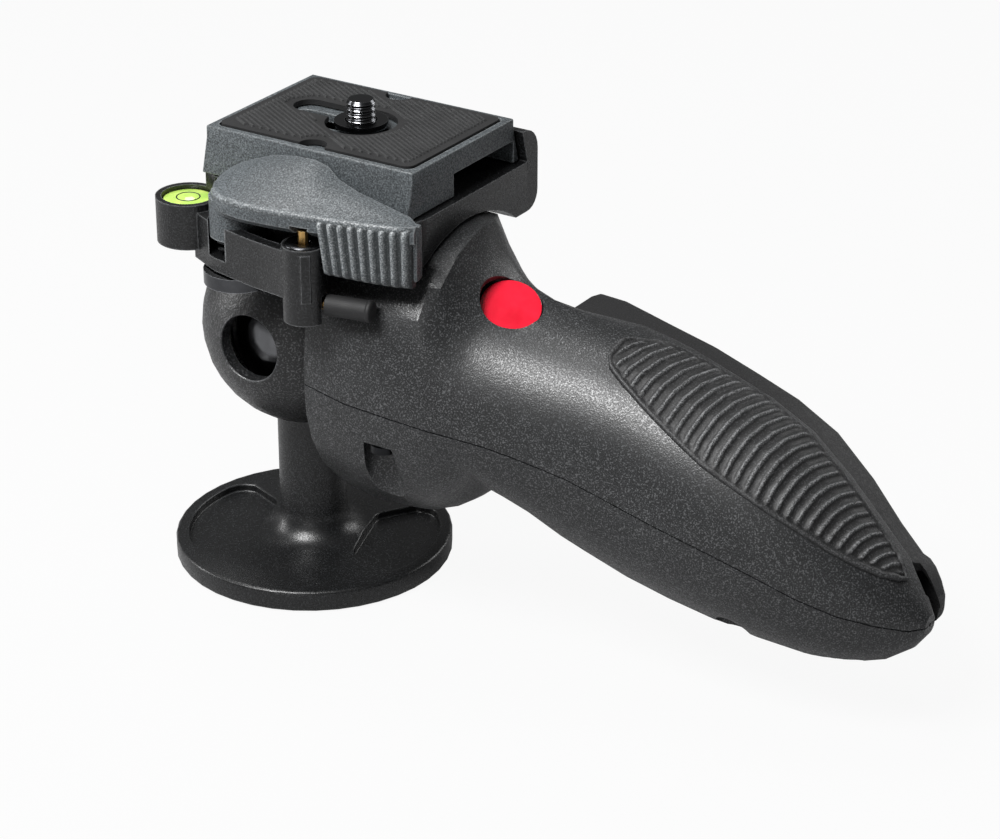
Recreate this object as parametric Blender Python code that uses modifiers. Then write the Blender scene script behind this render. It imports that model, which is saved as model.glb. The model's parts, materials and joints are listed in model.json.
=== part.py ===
"""Joystick head for a tripod: a ball joint held by a pistol-like grip, with a quick release plate.

Lengths are in metres. The base stands on z = 0 with its stem on the z axis of the layout,
the grip runs along +X, the trigger is on the +Y side and the quick release lever on the -Y side.
The whole layout is shifted so that the origin is under the middle of the bounding box.
"""
import math

import bmesh
import bpy
from mathutils import Euler, Matrix, Vector

ASSEMBLY = "joystick_head"

# Clearances and small edges shared by the pieces
GAP = 0.0003
OVERRUN = 0.002
EDGE_RADIUS = 0.0006
MERGE_DISTANCE = 0.00001

# Base disc and stem
BASE_RADIUS = 0.0314
BASE_THICKNESS = 0.005
BASE_EDGE = 0.0008
STEM_RADIUS = 0.0076
STEM_FILLET = 0.0065
STEM_TOP_Z = 0.0412
SPIGOT_RADIUS = 0.0050
SPIGOT_TOP_Z = 0.0625
THREAD_BORE_RADIUS = 0.0062
THREAD_BORE_DEPTH = 0.0120
THREAD_RADIUS = 0.00476
POCKET_DEPTH = 0.0018
POCKET_INNER_RADIUS = 0.0135
POCKET_OUTER_RADIUS = 0.0284
POCKET_CORNER = 0.0050
POCKET_HALF_ANGLE = math.radians(40)
POCKET_ANGLES = (math.radians(18), math.radians(198))

# Ball and its screw
BALL_Z = 0.0570
BALL_RADIUS = 0.0175
BALL_COUNTERBORE_RADIUS = 0.0056
BALL_COUNTERBORE_DEPTH = 0.0052
BALL_SCREW_RADIUS = 0.0025
BALL_SCREW_HEAD_RADIUS = 0.0050
BALL_SCREW_HEAD_HEIGHT = 0.0046
BALL_SCREW_LENGTH = 0.0140
HEX_SOCKET_RADIUS = 0.0022
HEX_SOCKET_DEPTH = 0.0025
WIPER_WIDTH = 0.0015
WIPER_HEIGHT = 0.0016

# Ball housing with its barrel and neck post
HOUSING_RADIUS = 0.0234
HOUSING_WALL = 0.0030
CAVITY_RADIUS = HOUSING_RADIUS - HOUSING_WALL
LINER_START_ANGLE = math.radians(20)
LINER_END_ANGLE = math.radians(50)
STEM_OPENING_RADIUS = 0.0099
STEM_OPENING_REACH = 0.0165
PORT_RADIUS = 0.0074
PORT_CHAMFER = 0.0016
PORT_AZIMUTH = math.radians(-90)
PORT_ELEVATION = math.radians(2)
BARREL_RADIUS = 0.0150
BARREL_BORE_RADIUS = 0.0100
BARREL_END = 0.0500
BARREL_WALL = 0.0040
POST_START_X = -0.0060
POST_END_X = 0.0360
POST_HALF_WIDTH = 0.0100
POST_TOP_Z = 0.0884

# Reach of the grip along X
GRIP_FRONT_X = 0.0190
GRIP_LENGTH = 0.1335

# Brake train along the sloping grip axis
GRIP_SLOPE = math.radians(9.5)
SHOE_RADIUS = 0.0092
SHOE_BACK_U = 0.0300
SHOE_FACE_STEPS = 6
ROD_RADIUS = 0.0030
ROD_END_U = 0.854 * GRIP_LENGTH
ROD_COLLAR_RADIUS = 0.0070
ROD_COLLAR_U = 0.6502 * GRIP_LENGTH
ROD_COLLAR_WIDTH = 0.0030
SPRING_RADIUS = 0.0075
SPRING_WIRE = 0.0011
SPRING_TURNS = 4
SPRING_TRAVEL = 0.0012
WHEEL_RADIUS = 0.0166
WHEEL_WIDTH = 0.0090
WHEEL_U = 0.7416 * GRIP_LENGTH
WHEEL_TEETH = 36
WHEEL_TOOTH = 0.0006

# Frame inside the grip
FRAME_START_U = BARREL_END + GAP
FRAME_BLOCK_LENGTH = 0.0060
FRAME_HALF_WIDTH = 0.0110
FRAME_HALF_HEIGHT = 0.0080
EAR_START_U = 0.0543
EAR_LOW_W = -0.0048
EAR_HIGH_W = 0.0090
EAR_PLATE = 0.0025
ROCKER_BOSS_RADIUS = 0.0024
FRAME_PLATE = 0.0030
FRAME_END_U = 0.6891 * GRIP_LENGTH
TRIGGER_PIN_U = 0.0660
TRIGGER_PIN_V = 0.0130
TRIGGER_PIN_RADIUS = 0.0015
KNUCKLE_RADIUS = 0.0034
ROCKER_PIN_U = 0.6292 * GRIP_LENGTH
ROCKER_PIN_V = -0.0090
ROCKER_TIP_U = 0.6742 * GRIP_LENGTH
ROCKER_TIP_V = 0.0140
ROCKER_TIP_RADIUS = 0.0020
ROCKER_LOW_W = 0.0076
ROCKER_HIGH_W = 0.0112
ROCKER_HALF_WIDTH = 0.0028
ROCKER_PEG_U = 0.6367 * GRIP_LENGTH
ROCKER_PEG_V = -0.0050
ROCKER_PEG_RADIUS = 0.0014
ROCKER_PEG_LOW_W = -0.0042
FRAME_BOLT_RADIUS = 0.0015
FRAME_BOLT_HEAD_RADIUS = 0.0026
FRAME_BOLT_PLACES = ((-0.0075, 0.0040), (0.0068, 0.0020))

# Grip shells: one loft of unlike sections along X
GRIP_HALF_HEIGHT = 0.0254
GRIP_HALF_WIDTH = 0.0290
GRIP_TOP_Z = 0.0565
GRIP_DROP = 0.0305
GRIP_WALL = 0.0022
GRIP_EXPONENT = 2.2
GRIP_FRONT_LEAN = 0.0040
FRONT_OPENING_SHARE = 0.72
NECK_END_X = 0.0465
SHOULDER_PINCH_SHARE = 0.75
SHOULDER_START_X = 0.0340
SHOULDER_FULL_X = 0.0460
SHOULDER_FADE_X = 0.0620
SHOULDER_END_X = 0.0820
SHELL_TIP_RADIUS = 0.0004
TRIGGER_LEAD = 0.0048
TRIGGER_START_X = TRIGGER_PIN_U - TRIGGER_LEAD
TRIGGER_END_INSET = 0.0034
TRIGGER_END_X = GRIP_FRONT_X + GRIP_LENGTH - TRIGGER_END_INSET
TRIGGER_END_GAP = 0.0010
TRIGGER_SLOT_START_X = TRIGGER_START_X - TRIGGER_END_GAP
TRIGGER_SLOT_END_X = TRIGGER_END_X + TRIGGER_END_GAP
TRIGGER_SLOT_APEX_SHARE = 0.25
TRIGGER_EDGE_ANGLE = math.radians(64)
GRIP_STATION_SHARES = (
    # along, drop, up, down, half width
    (0.000, 0.000, 1.594, 1.280, 0.966),
    (0.041, 0.025, 1.630, 1.283, 0.985),
    (0.082, 0.049, 1.654, 1.283, 1.000),
    (0.157, 0.066, 1.673, 1.224, 1.000),
    (0.202, 0.082, 1.600, 1.102, 0.986),
    (0.217, 0.090, 1.437, 1.035, 0.976),
    (0.232, 0.098, 1.220, 0.957, 0.966),
    (0.262, 0.115, 1.044, 0.764, 0.931),
    (0.277, 0.125, 1.000, 0.657, 0.914),
    (0.292, 0.134, 0.975, 0.705, 0.897),
    (0.322, 0.154, 0.945, 0.760, 0.862),
    (0.367, 0.193, 0.940, 0.823, 0.821),
    (0.412, 0.236, 0.949, 0.925, 0.786),
    (0.457, 0.282, 0.969, 0.969, 0.755),
    (0.532, 0.370, 1.000, 1.000, 0.738),
    (0.607, 0.459, 0.980, 0.980, 0.724),
    (0.682, 0.541, 0.945, 0.945, 0.703),
    (0.757, 0.643, 0.878, 0.878, 0.655),
    (0.831, 0.780, 0.740, 0.740, 0.566),
    (0.891, 0.889, 0.591, 0.591, 0.448),
    (0.944, 0.948, 0.425, 0.425, 0.324),
    (0.981, 1.000, 0.220, 0.220, 0.179),
    (1.000, 1.000, 0.079, 0.079, 0.076),
)
SHELL_COLUMNS = 13

# Trigger panel on the far side
TRIGGER_PROUD = 0.0034
TRIGGER_WALL = 0.0022
TRIGGER_TOP_INSET = 0.0009
TRIGGER_CORNER_SHARE = 0.30
TRIGGER_TONGUE_LENGTH = 0.0055
TRIGGER_CHANNEL_END_X = TRIGGER_END_X - TRIGGER_TONGUE_LENGTH
TRIGGER_TONGUE_STEPS = 4
TRIGGER_TONGUE_TAPER = 0.0046
PUSHER_START_U = 0.6442 * GRIP_LENGTH
PUSHER_END_U = 0.7371 * GRIP_LENGTH

# Ribbed pad on the shoulder of the grip
PAD_START_X = GRIP_FRONT_X + 0.4569 * GRIP_LENGTH
PAD_END_X = GRIP_FRONT_X + 0.9663 * GRIP_LENGTH
PAD_RIBS = 26
PAD_THICKNESS = 0.0007
PAD_RIB_HEIGHT = 0.0007
PAD_CENTRE_ANGLE_SHARES = (106, 103, 105, 107, 108, 109, 107, 104, 99, 92, 86)
PAD_HALF_ANGLE_SHARES = (1, 11, 17, 21, 23, 24.5, 26, 27, 26, 23, 6)
PAD_COLUMNS = 4

# Badge on the neck
BADGE_X = GRIP_FRONT_X + 0.2861 * GRIP_LENGTH
BADGE_Y = -0.0070
BADGE_Z = 0.0758
BADGE_RADIUS = 0.0065
BADGE_THICKNESS = 0.0012
BADGE_RECESS = 0.0016
BADGE_LEAN_BACK = math.radians(24)
BADGE_LEAN_SIDE = math.radians(24)

# Screws of the grip shells
SHELL_SCREW_RADIUS = 0.0015
SHELL_SCREW_HEAD_RADIUS = 0.0029
SHELL_SCREW_BITE = 0.0075
SHELL_SCREW_WELL_RADIUS = 0.0043
SHELL_SCREW_HEAD_HEIGHT = 0.0016
SHELL_BOSS_WALL = 0.0014
SHELL_BOSS_RISE = 0.0400
SHELL_SCREW_PLACES = (
    # x, y, height of the well's ceiling under the seam
    (0.0377, -0.0258, 0.0075),
    (GRIP_FRONT_X + 0.7154 * GRIP_LENGTH, -0.0110, 0.0120),
    (GRIP_FRONT_X + 0.8801 * GRIP_LENGTH, -0.0045, 0.0080),
)
WINDOW_X = GRIP_FRONT_X + 0.6292 * GRIP_LENGTH
WINDOW_LENGTH = 0.0135
WINDOW_WIDTH = 0.0120
WINDOW_HEIGHT = 0.0050

# Platform under the quick release plate
PLATFORM_START_X = -0.0130
PLATFORM_END_X = 0.0430
PLATFORM_NEAR_Y = -0.0210
PLATFORM_FAR_Y = 0.0260
PLATFORM_BOTTOM_Z = 0.0840
PLATFORM_TOP_Z = 0.0953
PLATFORM_CORNER = 0.0045
ARCH_RADIUS = 0.0300
ARCH_TOP_Z = 0.0903
ARCH_Y = -0.0010
SEAT_Z = 0.0887
RAIL_START_X = -0.0080
RAIL_TOP_Z = 0.1026
RAIL_TOP_ROUND = 0.0052
RAIL_FOOT_ROUND = 0.0040
RAIL_FOOT_Y = 0.0195
RAIL_ROUND_STEPS = 6
BRACKET_OUTLINE = (
    # x, y
    (-0.0090, -0.0200),
    (-0.0090, -0.0275),
    (-0.0010, -0.0314),
    (0.0108, -0.0340),
    (0.0248, -0.0358),
    (0.0262, -0.0345),
    (0.0262, -0.0200),
)
BRACKET_POCKET = (
    # x, y
    (-0.0040, -0.0213),
    (-0.0040, -0.0268),
    (0.0002, -0.0290),
    (0.0112, -0.0316),
    (0.0170, -0.0323),
    (0.0170, -0.0213),
)
BRACKET_NECK_X = 0.0184
BRACKET_NECK_Y = -0.0252
BRACKET_BOTTOM_Z = 0.0790
BRACKET_TOP_Z = 0.0895
BRACKET_FLOOR = 0.0030
BOSS_X = 0.0225
BOSS_Y = -0.0315
BOSS_RADIUS = 0.0046
BOSS_BOTTOM_Z = 0.0738
BOSS_TOP_Z = 0.0905
LEVEL_X = -0.0130
LEVEL_Y = -0.0240
LEVEL_BOSS_RADIUS = 0.0070
LEVEL_BOSS_TOP_Z = 0.0912
LEVEL_BOSS_HEIGHT = 0.0100
LEVEL_CUP_RADIUS = 0.0057
LEVEL_CUP_DEPTH = 0.0050
LEVEL_VIAL_HEIGHT = 0.0042
PLATFORM_SCREW_PLACES = ((0.0040, 0.0), (0.0270, 0.0))
PLATFORM_SCREW_RADIUS = 0.0020
PLATFORM_SCREW_HEAD_RADIUS = 0.0038
PLATFORM_SCREW_HEAD_HEIGHT = 0.0026
PLATFORM_SCREW_LENGTH = 0.0113
POST_HOLE_DEPTH = 0.0078

# Quick release lever and its pivot
PIVOT_X = 0.0015
PIVOT_Y = -0.0262
PIVOT_RADIUS = 0.0024
PIVOT_CAP_RADIUS = 0.0075
PIVOT_CAP_HEIGHT = 0.0030
LEVER_BOTTOM_Z = 0.0925
LEVER_EDGE_Z = 0.0972
LEVER_BARREL_RADIUS = 0.0058
LEVER_SPRING_RADIUS = 0.0042
LEVER_SPRING_WIRE = 0.0004
LEVER_SPRING_TURNS = 2
LEVER_BARREL_LOW_Z = 0.0863
PIVOT_TOP_Z = 0.0950
LEVER_ROUND_SHARES = (0.15, 0.4, 0.7)
LEVER_PLAN = (
    # x, near y, back y, back top z
    (-0.0031, -0.0282, -0.0248, 0.0978),
    (-0.0018, -0.0303, -0.0228, 0.0994),
    (0.0002, -0.0322, -0.0218, 0.1006),
    (0.0035, -0.0337, -0.0214, 0.1020),
    (0.0080, -0.0342, -0.0202, 0.1034),
    (0.0130, -0.0340, -0.0200, 0.1041),
    (0.0180, -0.0334, -0.0200, 0.1043),
    (0.0215, -0.0328, -0.0202, 0.1036),
    (0.0245, -0.0323, -0.0208, 0.1016),
    (0.0300, -0.0313, -0.0216, 0.1002),
    (0.0370, -0.0298, -0.0218, 0.0988),
    (0.0430, -0.0280, -0.0222, 0.0978),
    (0.0462, -0.0262, -0.0236, 0.0968),
)
TAB_START_X = 0.0290
TAB_END_X = 0.0462
TAB_BOTTOM_Z = 0.0848
TAB_THICKNESS = 0.0036
TAB_BACK_Y = -0.0262
TAB_TURN = math.radians(14)
TAB_RIBS = 9
TAB_RIB_RADIUS = 0.0007
TAB_EDGE = 0.0009

# Safety pin beside the lever
SAFETY_PIN_RADIUS = 0.0011
SAFETY_PIN_TOP_Z = 0.0935
SAFETY_PIN_BEND_Z = 0.0776
SAFETY_PIN_ARM = 0.0150
SAFETY_PIN_TURN = math.radians(12)
SLEEVE_RADIUS = 0.0023
SLEEVE_LENGTH = 0.0100
PIN_CHAMBER_RADIUS = 0.0029
PIN_CHAMBER_LOW_Z = 0.0802
PIN_COLLAR_LOW_Z = 0.0872
PIN_COLLAR_RADIUS = 0.0026
PIN_GROOVE_HEIGHT = 0.0018
PIN_GROOVE_WIDTH = 0.0036
PIN_SPRING_RADIUS = 0.0022
PIN_SPRING_WIRE = 0.0003
PIN_SPRING_TURNS = 4
PIN_COLLAR_HEIGHT = 0.0010

# Quick release plate
PLATE_X = 0.0150
PLATE_LENGTH = 0.0525
PLATE_BOTTOM_WIDTH = 0.0425
PLATE_TOP_WIDTH = 0.0385
PLATE_BOTTOM_Z = 0.0956
PLATE_TOP_Z = 0.1056
PLATE_RIM = 0.0024
PLATE_FLOOR = 0.0030
PLATE_WINDOW_WIDTH = 0.0230
PLATE_WINDOW_Y = 0.0075
PLATE_POCKET_MARGIN = 0.0052
RUBBER_THICKNESS = 0.0016
PLATE_WINDOW_TOP_Z = 0.1006
RUBBER_MARGIN = 0.0018
RUBBER_PROUD = 0.0008
RUBBER_CORNER = 0.0020
SLOT_START_X = -0.0030
SLOT_END_X = 0.0220
SLOT_WIDTH = 0.0072
SLOT_Y = 0.0018
RING_HOLE_RADIUS = 0.0078
NOTCH_RADIUS = 0.0032
NEAR_NOTCH_X = 0.0150
FAR_NOTCH_X = 0.0133
SCREW_X = 0.0158
SCREW_Y = -0.0008
SCREW_RADIUS = 0.003175
SCREW_TOP_Z = 0.1112
SCREW_CORE_SHARE = 0.86
SCREW_PITCH = 0.00127
SCREW_HEAD_RADIUS = 0.0070
SCREW_HEAD_HEIGHT = 0.0020
SCREW_SLOT_WIDTH = 0.0016
FLANGE_RADIUS = 0.00575
FLANGE_TOP_Z = 0.1066
FLANGE_THICKNESS = 0.0012

# Origin under the middle of the bounding box
TIP_X = GRIP_FRONT_X + GRIP_LENGTH
ORIGIN_X = (TIP_X - BASE_RADIUS) / 2
NEAR_Y = BOSS_Y - BOSS_RADIUS
ORIGIN_Y = (BASE_RADIUS + NEAR_Y) / 2

ROUND_STEPS = 40
SMALL_STEPS = 20


# Scene and collections
def clear_scene():
    for old in list(bpy.data.objects):
        bpy.data.objects.remove(old, do_unlink=True)


def new_collection(name):
    made = bpy.data.collections.new(name)
    bpy.context.scene.collection.children.link(made)
    return made


clear_scene()
PARTS = new_collection(ASSEMBLY)
CUTTERS = new_collection("cutters")


# Materials
def material(name, colour, roughness, metallic=0.0):
    made = bpy.data.materials.new(name)
    made.use_nodes = True
    shader = made.node_tree.nodes["Principled BSDF"]
    shader.inputs["Base Color"].default_value = (*colour, 1.0)
    shader.inputs["Roughness"].default_value = roughness
    shader.inputs["Metallic"].default_value = metallic
    return made


def finish(obj, colour, roughness, metallic=0.0):
    obj.data.materials.clear()
    obj.data.materials.append(material(obj.name + "_finish", colour, roughness, metallic))
    return obj


def black_paint(obj):
    return finish(obj, (0.018, 0.019, 0.020), 0.45)


def grey_paint(obj):
    return finish(obj, (0.10, 0.115, 0.12), 0.5)


def grip_plastic(obj):
    return finish(obj, (0.030, 0.031, 0.033), 0.6)


def black_rubber(obj):
    return finish(obj, (0.010, 0.010, 0.011), 0.85)


def steel(obj):
    return finish(obj, (0.55, 0.56, 0.58), 0.28, 1.0)


def black_chrome(obj):
    return finish(obj, (0.045, 0.045, 0.05), 0.22, 1.0)


def brass(obj):
    return finish(obj, (0.72, 0.48, 0.20), 0.3, 1.0)


def acetal(obj):
    return finish(obj, (0.75, 0.74, 0.70), 0.5)


# Placing
def pivot(name, place, parent=None, turn=0.0):
    made = bpy.data.objects.new(name, None)
    PARTS.objects.link(made)
    made.location = place
    made.rotation_euler = (0.0, turn, 0.0)
    if parent is not None:
        made.parent = parent
        made.matrix_parent_inverse = layout_matrix(parent).inverted()
    return made


def layout_matrix(pivot_object):
    return Matrix.LocRotScale(pivot_object.location, pivot_object.rotation_euler, None)


def attach(obj, parent):
    """Parents a piece, and the shapes that cut or join it, to the same pivot."""
    obj.parent = parent
    if parent is not ORIGIN:
        obj.matrix_parent_inverse = layout_matrix(parent).inverted()
    for step in obj.modifiers:
        if step.type == "BOOLEAN":
            attach(step.object, parent)


def on_axis(u, v=0.0, w=0.0):
    """Layout point for a place along, across and above the sloping grip axis."""
    along = Vector((math.cos(GRIP_SLOPE), 0.0, -math.sin(GRIP_SLOPE)))
    above = Vector((math.sin(GRIP_SLOPE), 0.0, math.cos(GRIP_SLOPE)))
    return Vector((0.0, 0.0, BALL_Z)) + along * u + Vector((0.0, v, 0.0)) + above * w


SLOPED = (0.0, GRIP_SLOPE, 0.0)
ALONG_SLOPE = (0.0, GRIP_SLOPE + math.pi / 2, 0.0)
ALONG_X = (0.0, math.pi / 2, 0.0)


# Solids
def from_bmesh(name, bm, place=(0, 0, 0), turn=(0, 0, 0), smooth=True):
    bmesh.ops.recalc_face_normals(bm, faces=bm.faces)
    mesh = bpy.data.meshes.new(name)
    bm.to_mesh(mesh)
    bm.free()
    return from_mesh(name, mesh, place, turn, smooth)


def from_mesh(name, mesh, place=(0, 0, 0), turn=(0, 0, 0), smooth=True):
    obj = bpy.data.objects.new(name, mesh)
    obj.location = place
    obj.rotation_euler = turn
    PARTS.objects.link(obj)
    if smooth:
        mesh.shade_smooth()
        mesh.set_sharp_from_angle(angle=math.radians(35))
    return obj


def bevel(obj, width, segments=2, angle=math.radians(40)):
    edge = obj.modifiers.new("edges", "BEVEL")
    edge.width = width
    edge.segments = segments
    edge.limit_method = "ANGLE"
    edge.angle_limit = angle
    return obj


def box(name, low, high, rounded=0.0, segments=2):
    """A block between two layout corners, with its origin at its middle."""
    low, high = Vector(low), Vector(high)
    size = high - low
    bm = bmesh.new()
    bmesh.ops.create_cube(bm, size=1.0)
    bmesh.ops.scale(bm, vec=size, verts=bm.verts)
    obj = from_bmesh(name, bm, (low + high) / 2, smooth=False)
    if rounded:
        bevel(obj, rounded, segments)
    return obj


def rod(name, radius, length, place, turn=(0, 0, 0), steps=SMALL_STEPS, rounded=0.0, tip_radius=None):
    """A round bar whose middle is at place."""
    bm = bmesh.new()
    bmesh.ops.create_cone(
        bm,
        cap_ends=True,
        segments=steps,
        radius1=radius,
        radius2=radius if tip_radius is None else tip_radius,
        depth=length,
    )
    obj = from_bmesh(name, bm, place, turn)
    if rounded:
        bevel(obj, rounded, 2)
    return obj


def ball(name, radius, place, across=32, rings=16):
    bm = bmesh.new()
    bmesh.ops.create_uvsphere(bm, u_segments=across, v_segments=rings, radius=radius)
    return from_bmesh(name, bm, place)


def turned(name, profile, place=(0, 0, 0), turn=(0, 0, 0), steps=ROUND_STEPS, closed=False):
    """A profile of (radius, height) points, from top to bottom down its outer side, turned about Z."""
    mesh = bpy.data.meshes.new(name)
    points = [(radius, 0.0, height) for radius, height in profile]
    edges = [(n, n + 1) for n in range(len(points) - 1)]
    if closed:
        edges.append((len(points) - 1, 0))
    mesh.from_pydata(points, edges, [])
    obj = bpy.data.objects.new(name, mesh)
    obj.location = place
    obj.rotation_euler = turn
    PARTS.objects.link(obj)
    screw = obj.modifiers.new("turned", "SCREW")
    screw.axis = "Z"
    screw.steps = steps
    screw.render_steps = steps
    screw.use_merge_vertices = True
    screw.merge_threshold = MERGE_DISTANCE
    screw.use_smooth_shade = True
    return obj


def ring(name, inner, outer, low, high, place=(0, 0, 0), turn=(0, 0, 0), steps=SMALL_STEPS):
    profile = ((outer, high), (outer, low), (inner, low), (inner, high))
    return turned(name, profile, place, turn, steps, closed=True)


def arc(centre, radius, start, end, count):
    """Points on an arc from start to end angle, both included."""
    turns = [start + (end - start) * n / count for n in range(count + 1)]
    return [(centre[0] + radius * math.cos(t), centre[1] + radius * math.sin(t)) for t in turns]


def extruded(name, outline, low, high):
    """A flat outline in XY filled and raised from low to high."""
    curve = bpy.data.curves.new(name, "CURVE")
    curve.dimensions = "2D"
    curve.fill_mode = "BOTH"
    curve.extrude = (high - low) / 2
    spline = curve.splines.new("POLY")
    spline.points.add(len(outline) - 1)
    for point, (x, y) in zip(spline.points, outline):
        point.co = (x, y, 0.0, 1.0)
    spline.use_cyclic_u = True
    return mesh_of_curve(name, curve, (0.0, 0.0, (low + high) / 2))


def mesh_of_curve(name, curve, place, turn=(0, 0, 0), smooth=False):
    guide = bpy.data.objects.new(name + "_guide", curve)
    bpy.context.scene.collection.objects.link(guide)
    bpy.context.view_layer.update()
    evaluated = guide.evaluated_get(bpy.context.evaluated_depsgraph_get())
    mesh = bpy.data.meshes.new_from_object(evaluated)
    bpy.data.objects.remove(guide, do_unlink=True)
    bm = bmesh.new()
    bm.from_mesh(mesh)
    bmesh.ops.remove_doubles(bm, verts=bm.verts, dist=MERGE_DISTANCE)
    bpy.data.meshes.remove(mesh)
    return from_bmesh(name, bm, place, turn, smooth)


def bent_wire(name, points, radius, place=(0, 0, 0), turn=(0, 0, 0), resolution=2):
    curve = bpy.data.curves.new(name, "CURVE")
    curve.dimensions = "3D"
    curve.bevel_depth = radius
    curve.bevel_resolution = resolution
    curve.use_fill_caps = True
    spline = curve.splines.new("POLY")
    spline.points.add(len(points) - 1)
    for point, co in zip(spline.points, points):
        point.co = (*co, 1.0)
    return mesh_of_curve(name, curve, place, turn, smooth=True)


def coil(name, radius, wire, turns, height, place, turn=(0, 0, 0)):
    """A compression spring about Z; the gap between its curls is printed."""
    per_turn = 9
    count = int(per_turn * turns)
    points = []
    for n in range(count + 1):
        angle = 2 * math.pi * n / per_turn
        rise = wire + (height - 2 * wire) * n / count
        points.append((radius * math.cos(angle), radius * math.sin(angle), rise))
    pitch = (height - 2 * wire) / turns
    print(name, "gap between curls in mm:", round((pitch - 2 * wire) * 1000, 2))
    return bent_wire(name, points, wire, place, turn, resolution=1)


# Cutting and joining
def helper(obj):
    for user in list(obj.users_collection):
        user.objects.unlink(obj)
    CUTTERS.objects.link(obj)
    obj.hide_render = True
    obj.display_type = "WIRE"
    return obj


def combine(target, other, operation):
    helper(other)
    step = target.modifiers.new(other.name, "BOOLEAN")
    step.operation = operation
    step.object = other
    return target


def cut(target, *others):
    for other in others:
        combine(target, other, "DIFFERENCE")
    return target


def join(target, *others):
    for other in others:
        combine(target, other, "UNION")
    return target


def place_all(parent, *objects):
    for obj in objects:
        attach(obj, parent)


# Base
def pocket_outline(centre_angle):
    """A fan between two radii with round corners, on the base disc."""
    start = centre_angle - POCKET_HALF_ANGLE
    end = centre_angle + POCKET_HALF_ANGLE
    outer = POCKET_OUTER_RADIUS - POCKET_CORNER
    inner = POCKET_INNER_RADIUS + POCKET_CORNER
    outer_turn = math.asin(POCKET_CORNER / outer)
    inner_turn = math.asin(POCKET_CORNER / inner)
    points = []
    points += arc((0, 0), POCKET_OUTER_RADIUS, start + outer_turn, end - outer_turn, 10)
    points += corner_arc(outer, end - outer_turn, end - outer_turn, end + math.pi / 2)
    points += corner_arc(inner, end - inner_turn, end + math.pi / 2, end - inner_turn + math.pi)
    points += corner_arc(inner, start + inner_turn, start + inner_turn + math.pi, start + 3 * math.pi / 2)
    points += corner_arc(outer, start + outer_turn, start - math.pi / 2, start + outer_turn)
    return points


def corner_arc(reach, bearing, start, end):
    centre = (reach * math.cos(bearing), reach * math.sin(bearing))
    return arc(centre, POCKET_CORNER, start, end, 4)[1:-1]


def base_profile():
    fillet_centre = (STEM_RADIUS + STEM_FILLET, BASE_THICKNESS + STEM_FILLET)
    edge_top = (BASE_RADIUS - BASE_EDGE, BASE_THICKNESS - BASE_EDGE)
    edge_low = (BASE_RADIUS - BASE_EDGE, BASE_EDGE)
    hole_low = BALL_Z + BALL_RADIUS - BALL_COUNTERBORE_DEPTH - BALL_SCREW_LENGTH
    hole_radius = BALL_SCREW_RADIUS + GAP
    bore_radius = THREAD_BORE_RADIUS + GAP
    bore_top = THREAD_BORE_DEPTH + GAP
    profile = [(0.0, hole_low), (hole_radius, hole_low), (hole_radius, SPIGOT_TOP_Z)]
    profile += [(SPIGOT_RADIUS, SPIGOT_TOP_Z), (SPIGOT_RADIUS, STEM_TOP_Z)]
    profile.append((STEM_RADIUS, STEM_TOP_Z))
    profile += arc(fillet_centre, STEM_FILLET, math.pi, 3 * math.pi / 2, 5)
    profile += arc(edge_top, BASE_EDGE, math.pi / 2, 0.0, 2)
    profile += arc(edge_low, BASE_EDGE, 0.0, -math.pi / 2, 2)
    profile += [(bore_radius, 0.0), (bore_radius, bore_top), (0.0, bore_top)]
    return profile


def make_base():
    base = turned("base_stem", base_profile(), steps=40)
    for number, angle in enumerate(POCKET_ANGLES):
        outline = pocket_outline(angle)
        low = BASE_THICKNESS - POCKET_DEPTH
        cut(base, extruded("base_pocket_%d" % number, outline, low, BASE_THICKNESS + OVERRUN))
    bush = ring("thread_bush", THREAD_RADIUS, THREAD_BORE_RADIUS, GAP, THREAD_BORE_DEPTH)
    place_all(ORIGIN, black_paint(base), steel(bush))


def make_ball():
    centre = (0, 0, BALL_Z)
    steel_ball = ball("steel_ball", BALL_RADIUS, centre, 32, 16)
    bore_top = SPIGOT_TOP_Z + GAP
    bore_low = STEM_TOP_Z - OVERRUN
    cut(steel_ball, rod("ball_bore", SPIGOT_RADIUS + GAP, bore_top - bore_low,
                        (0, 0, (bore_top + bore_low) / 2)))
    floor = STEM_TOP_Z + GAP
    cut(steel_ball, rod("ball_foot", BALL_RADIUS, BALL_RADIUS, (0, 0, floor - BALL_RADIUS / 2)))
    counter_low = BALL_Z + BALL_RADIUS - BALL_COUNTERBORE_DEPTH
    cut(steel_ball, rod("ball_counterbore", BALL_COUNTERBORE_RADIUS, 2 * BALL_COUNTERBORE_DEPTH,
                        (0, 0, counter_low + BALL_COUNTERBORE_DEPTH)))
    cut(steel_ball, rod("ball_screw_way", BALL_SCREW_RADIUS + GAP, BALL_RADIUS, (0, 0, counter_low)))
    place_all(ORIGIN, steel(steel_ball), make_ball_screw(counter_low + GAP))


def make_ball_screw(head_low):
    shaft_top = head_low + GAP
    shaft_low = head_low - BALL_SCREW_LENGTH
    screw = rod("ball_screw", BALL_SCREW_RADIUS, shaft_top - shaft_low, (0, 0, (shaft_top + shaft_low) / 2))
    head_middle = head_low + BALL_SCREW_HEAD_HEIGHT / 2
    join(screw, rod("ball_screw_head", BALL_SCREW_HEAD_RADIUS, BALL_SCREW_HEAD_HEIGHT, (0, 0, head_middle)))
    socket_middle = head_low + BALL_SCREW_HEAD_HEIGHT
    cut(screw, rod("ball_screw_socket", HEX_SOCKET_RADIUS, 2 * HEX_SOCKET_DEPTH, (0, 0, socket_middle),
                   steps=6))
    return steel(screw)


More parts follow.
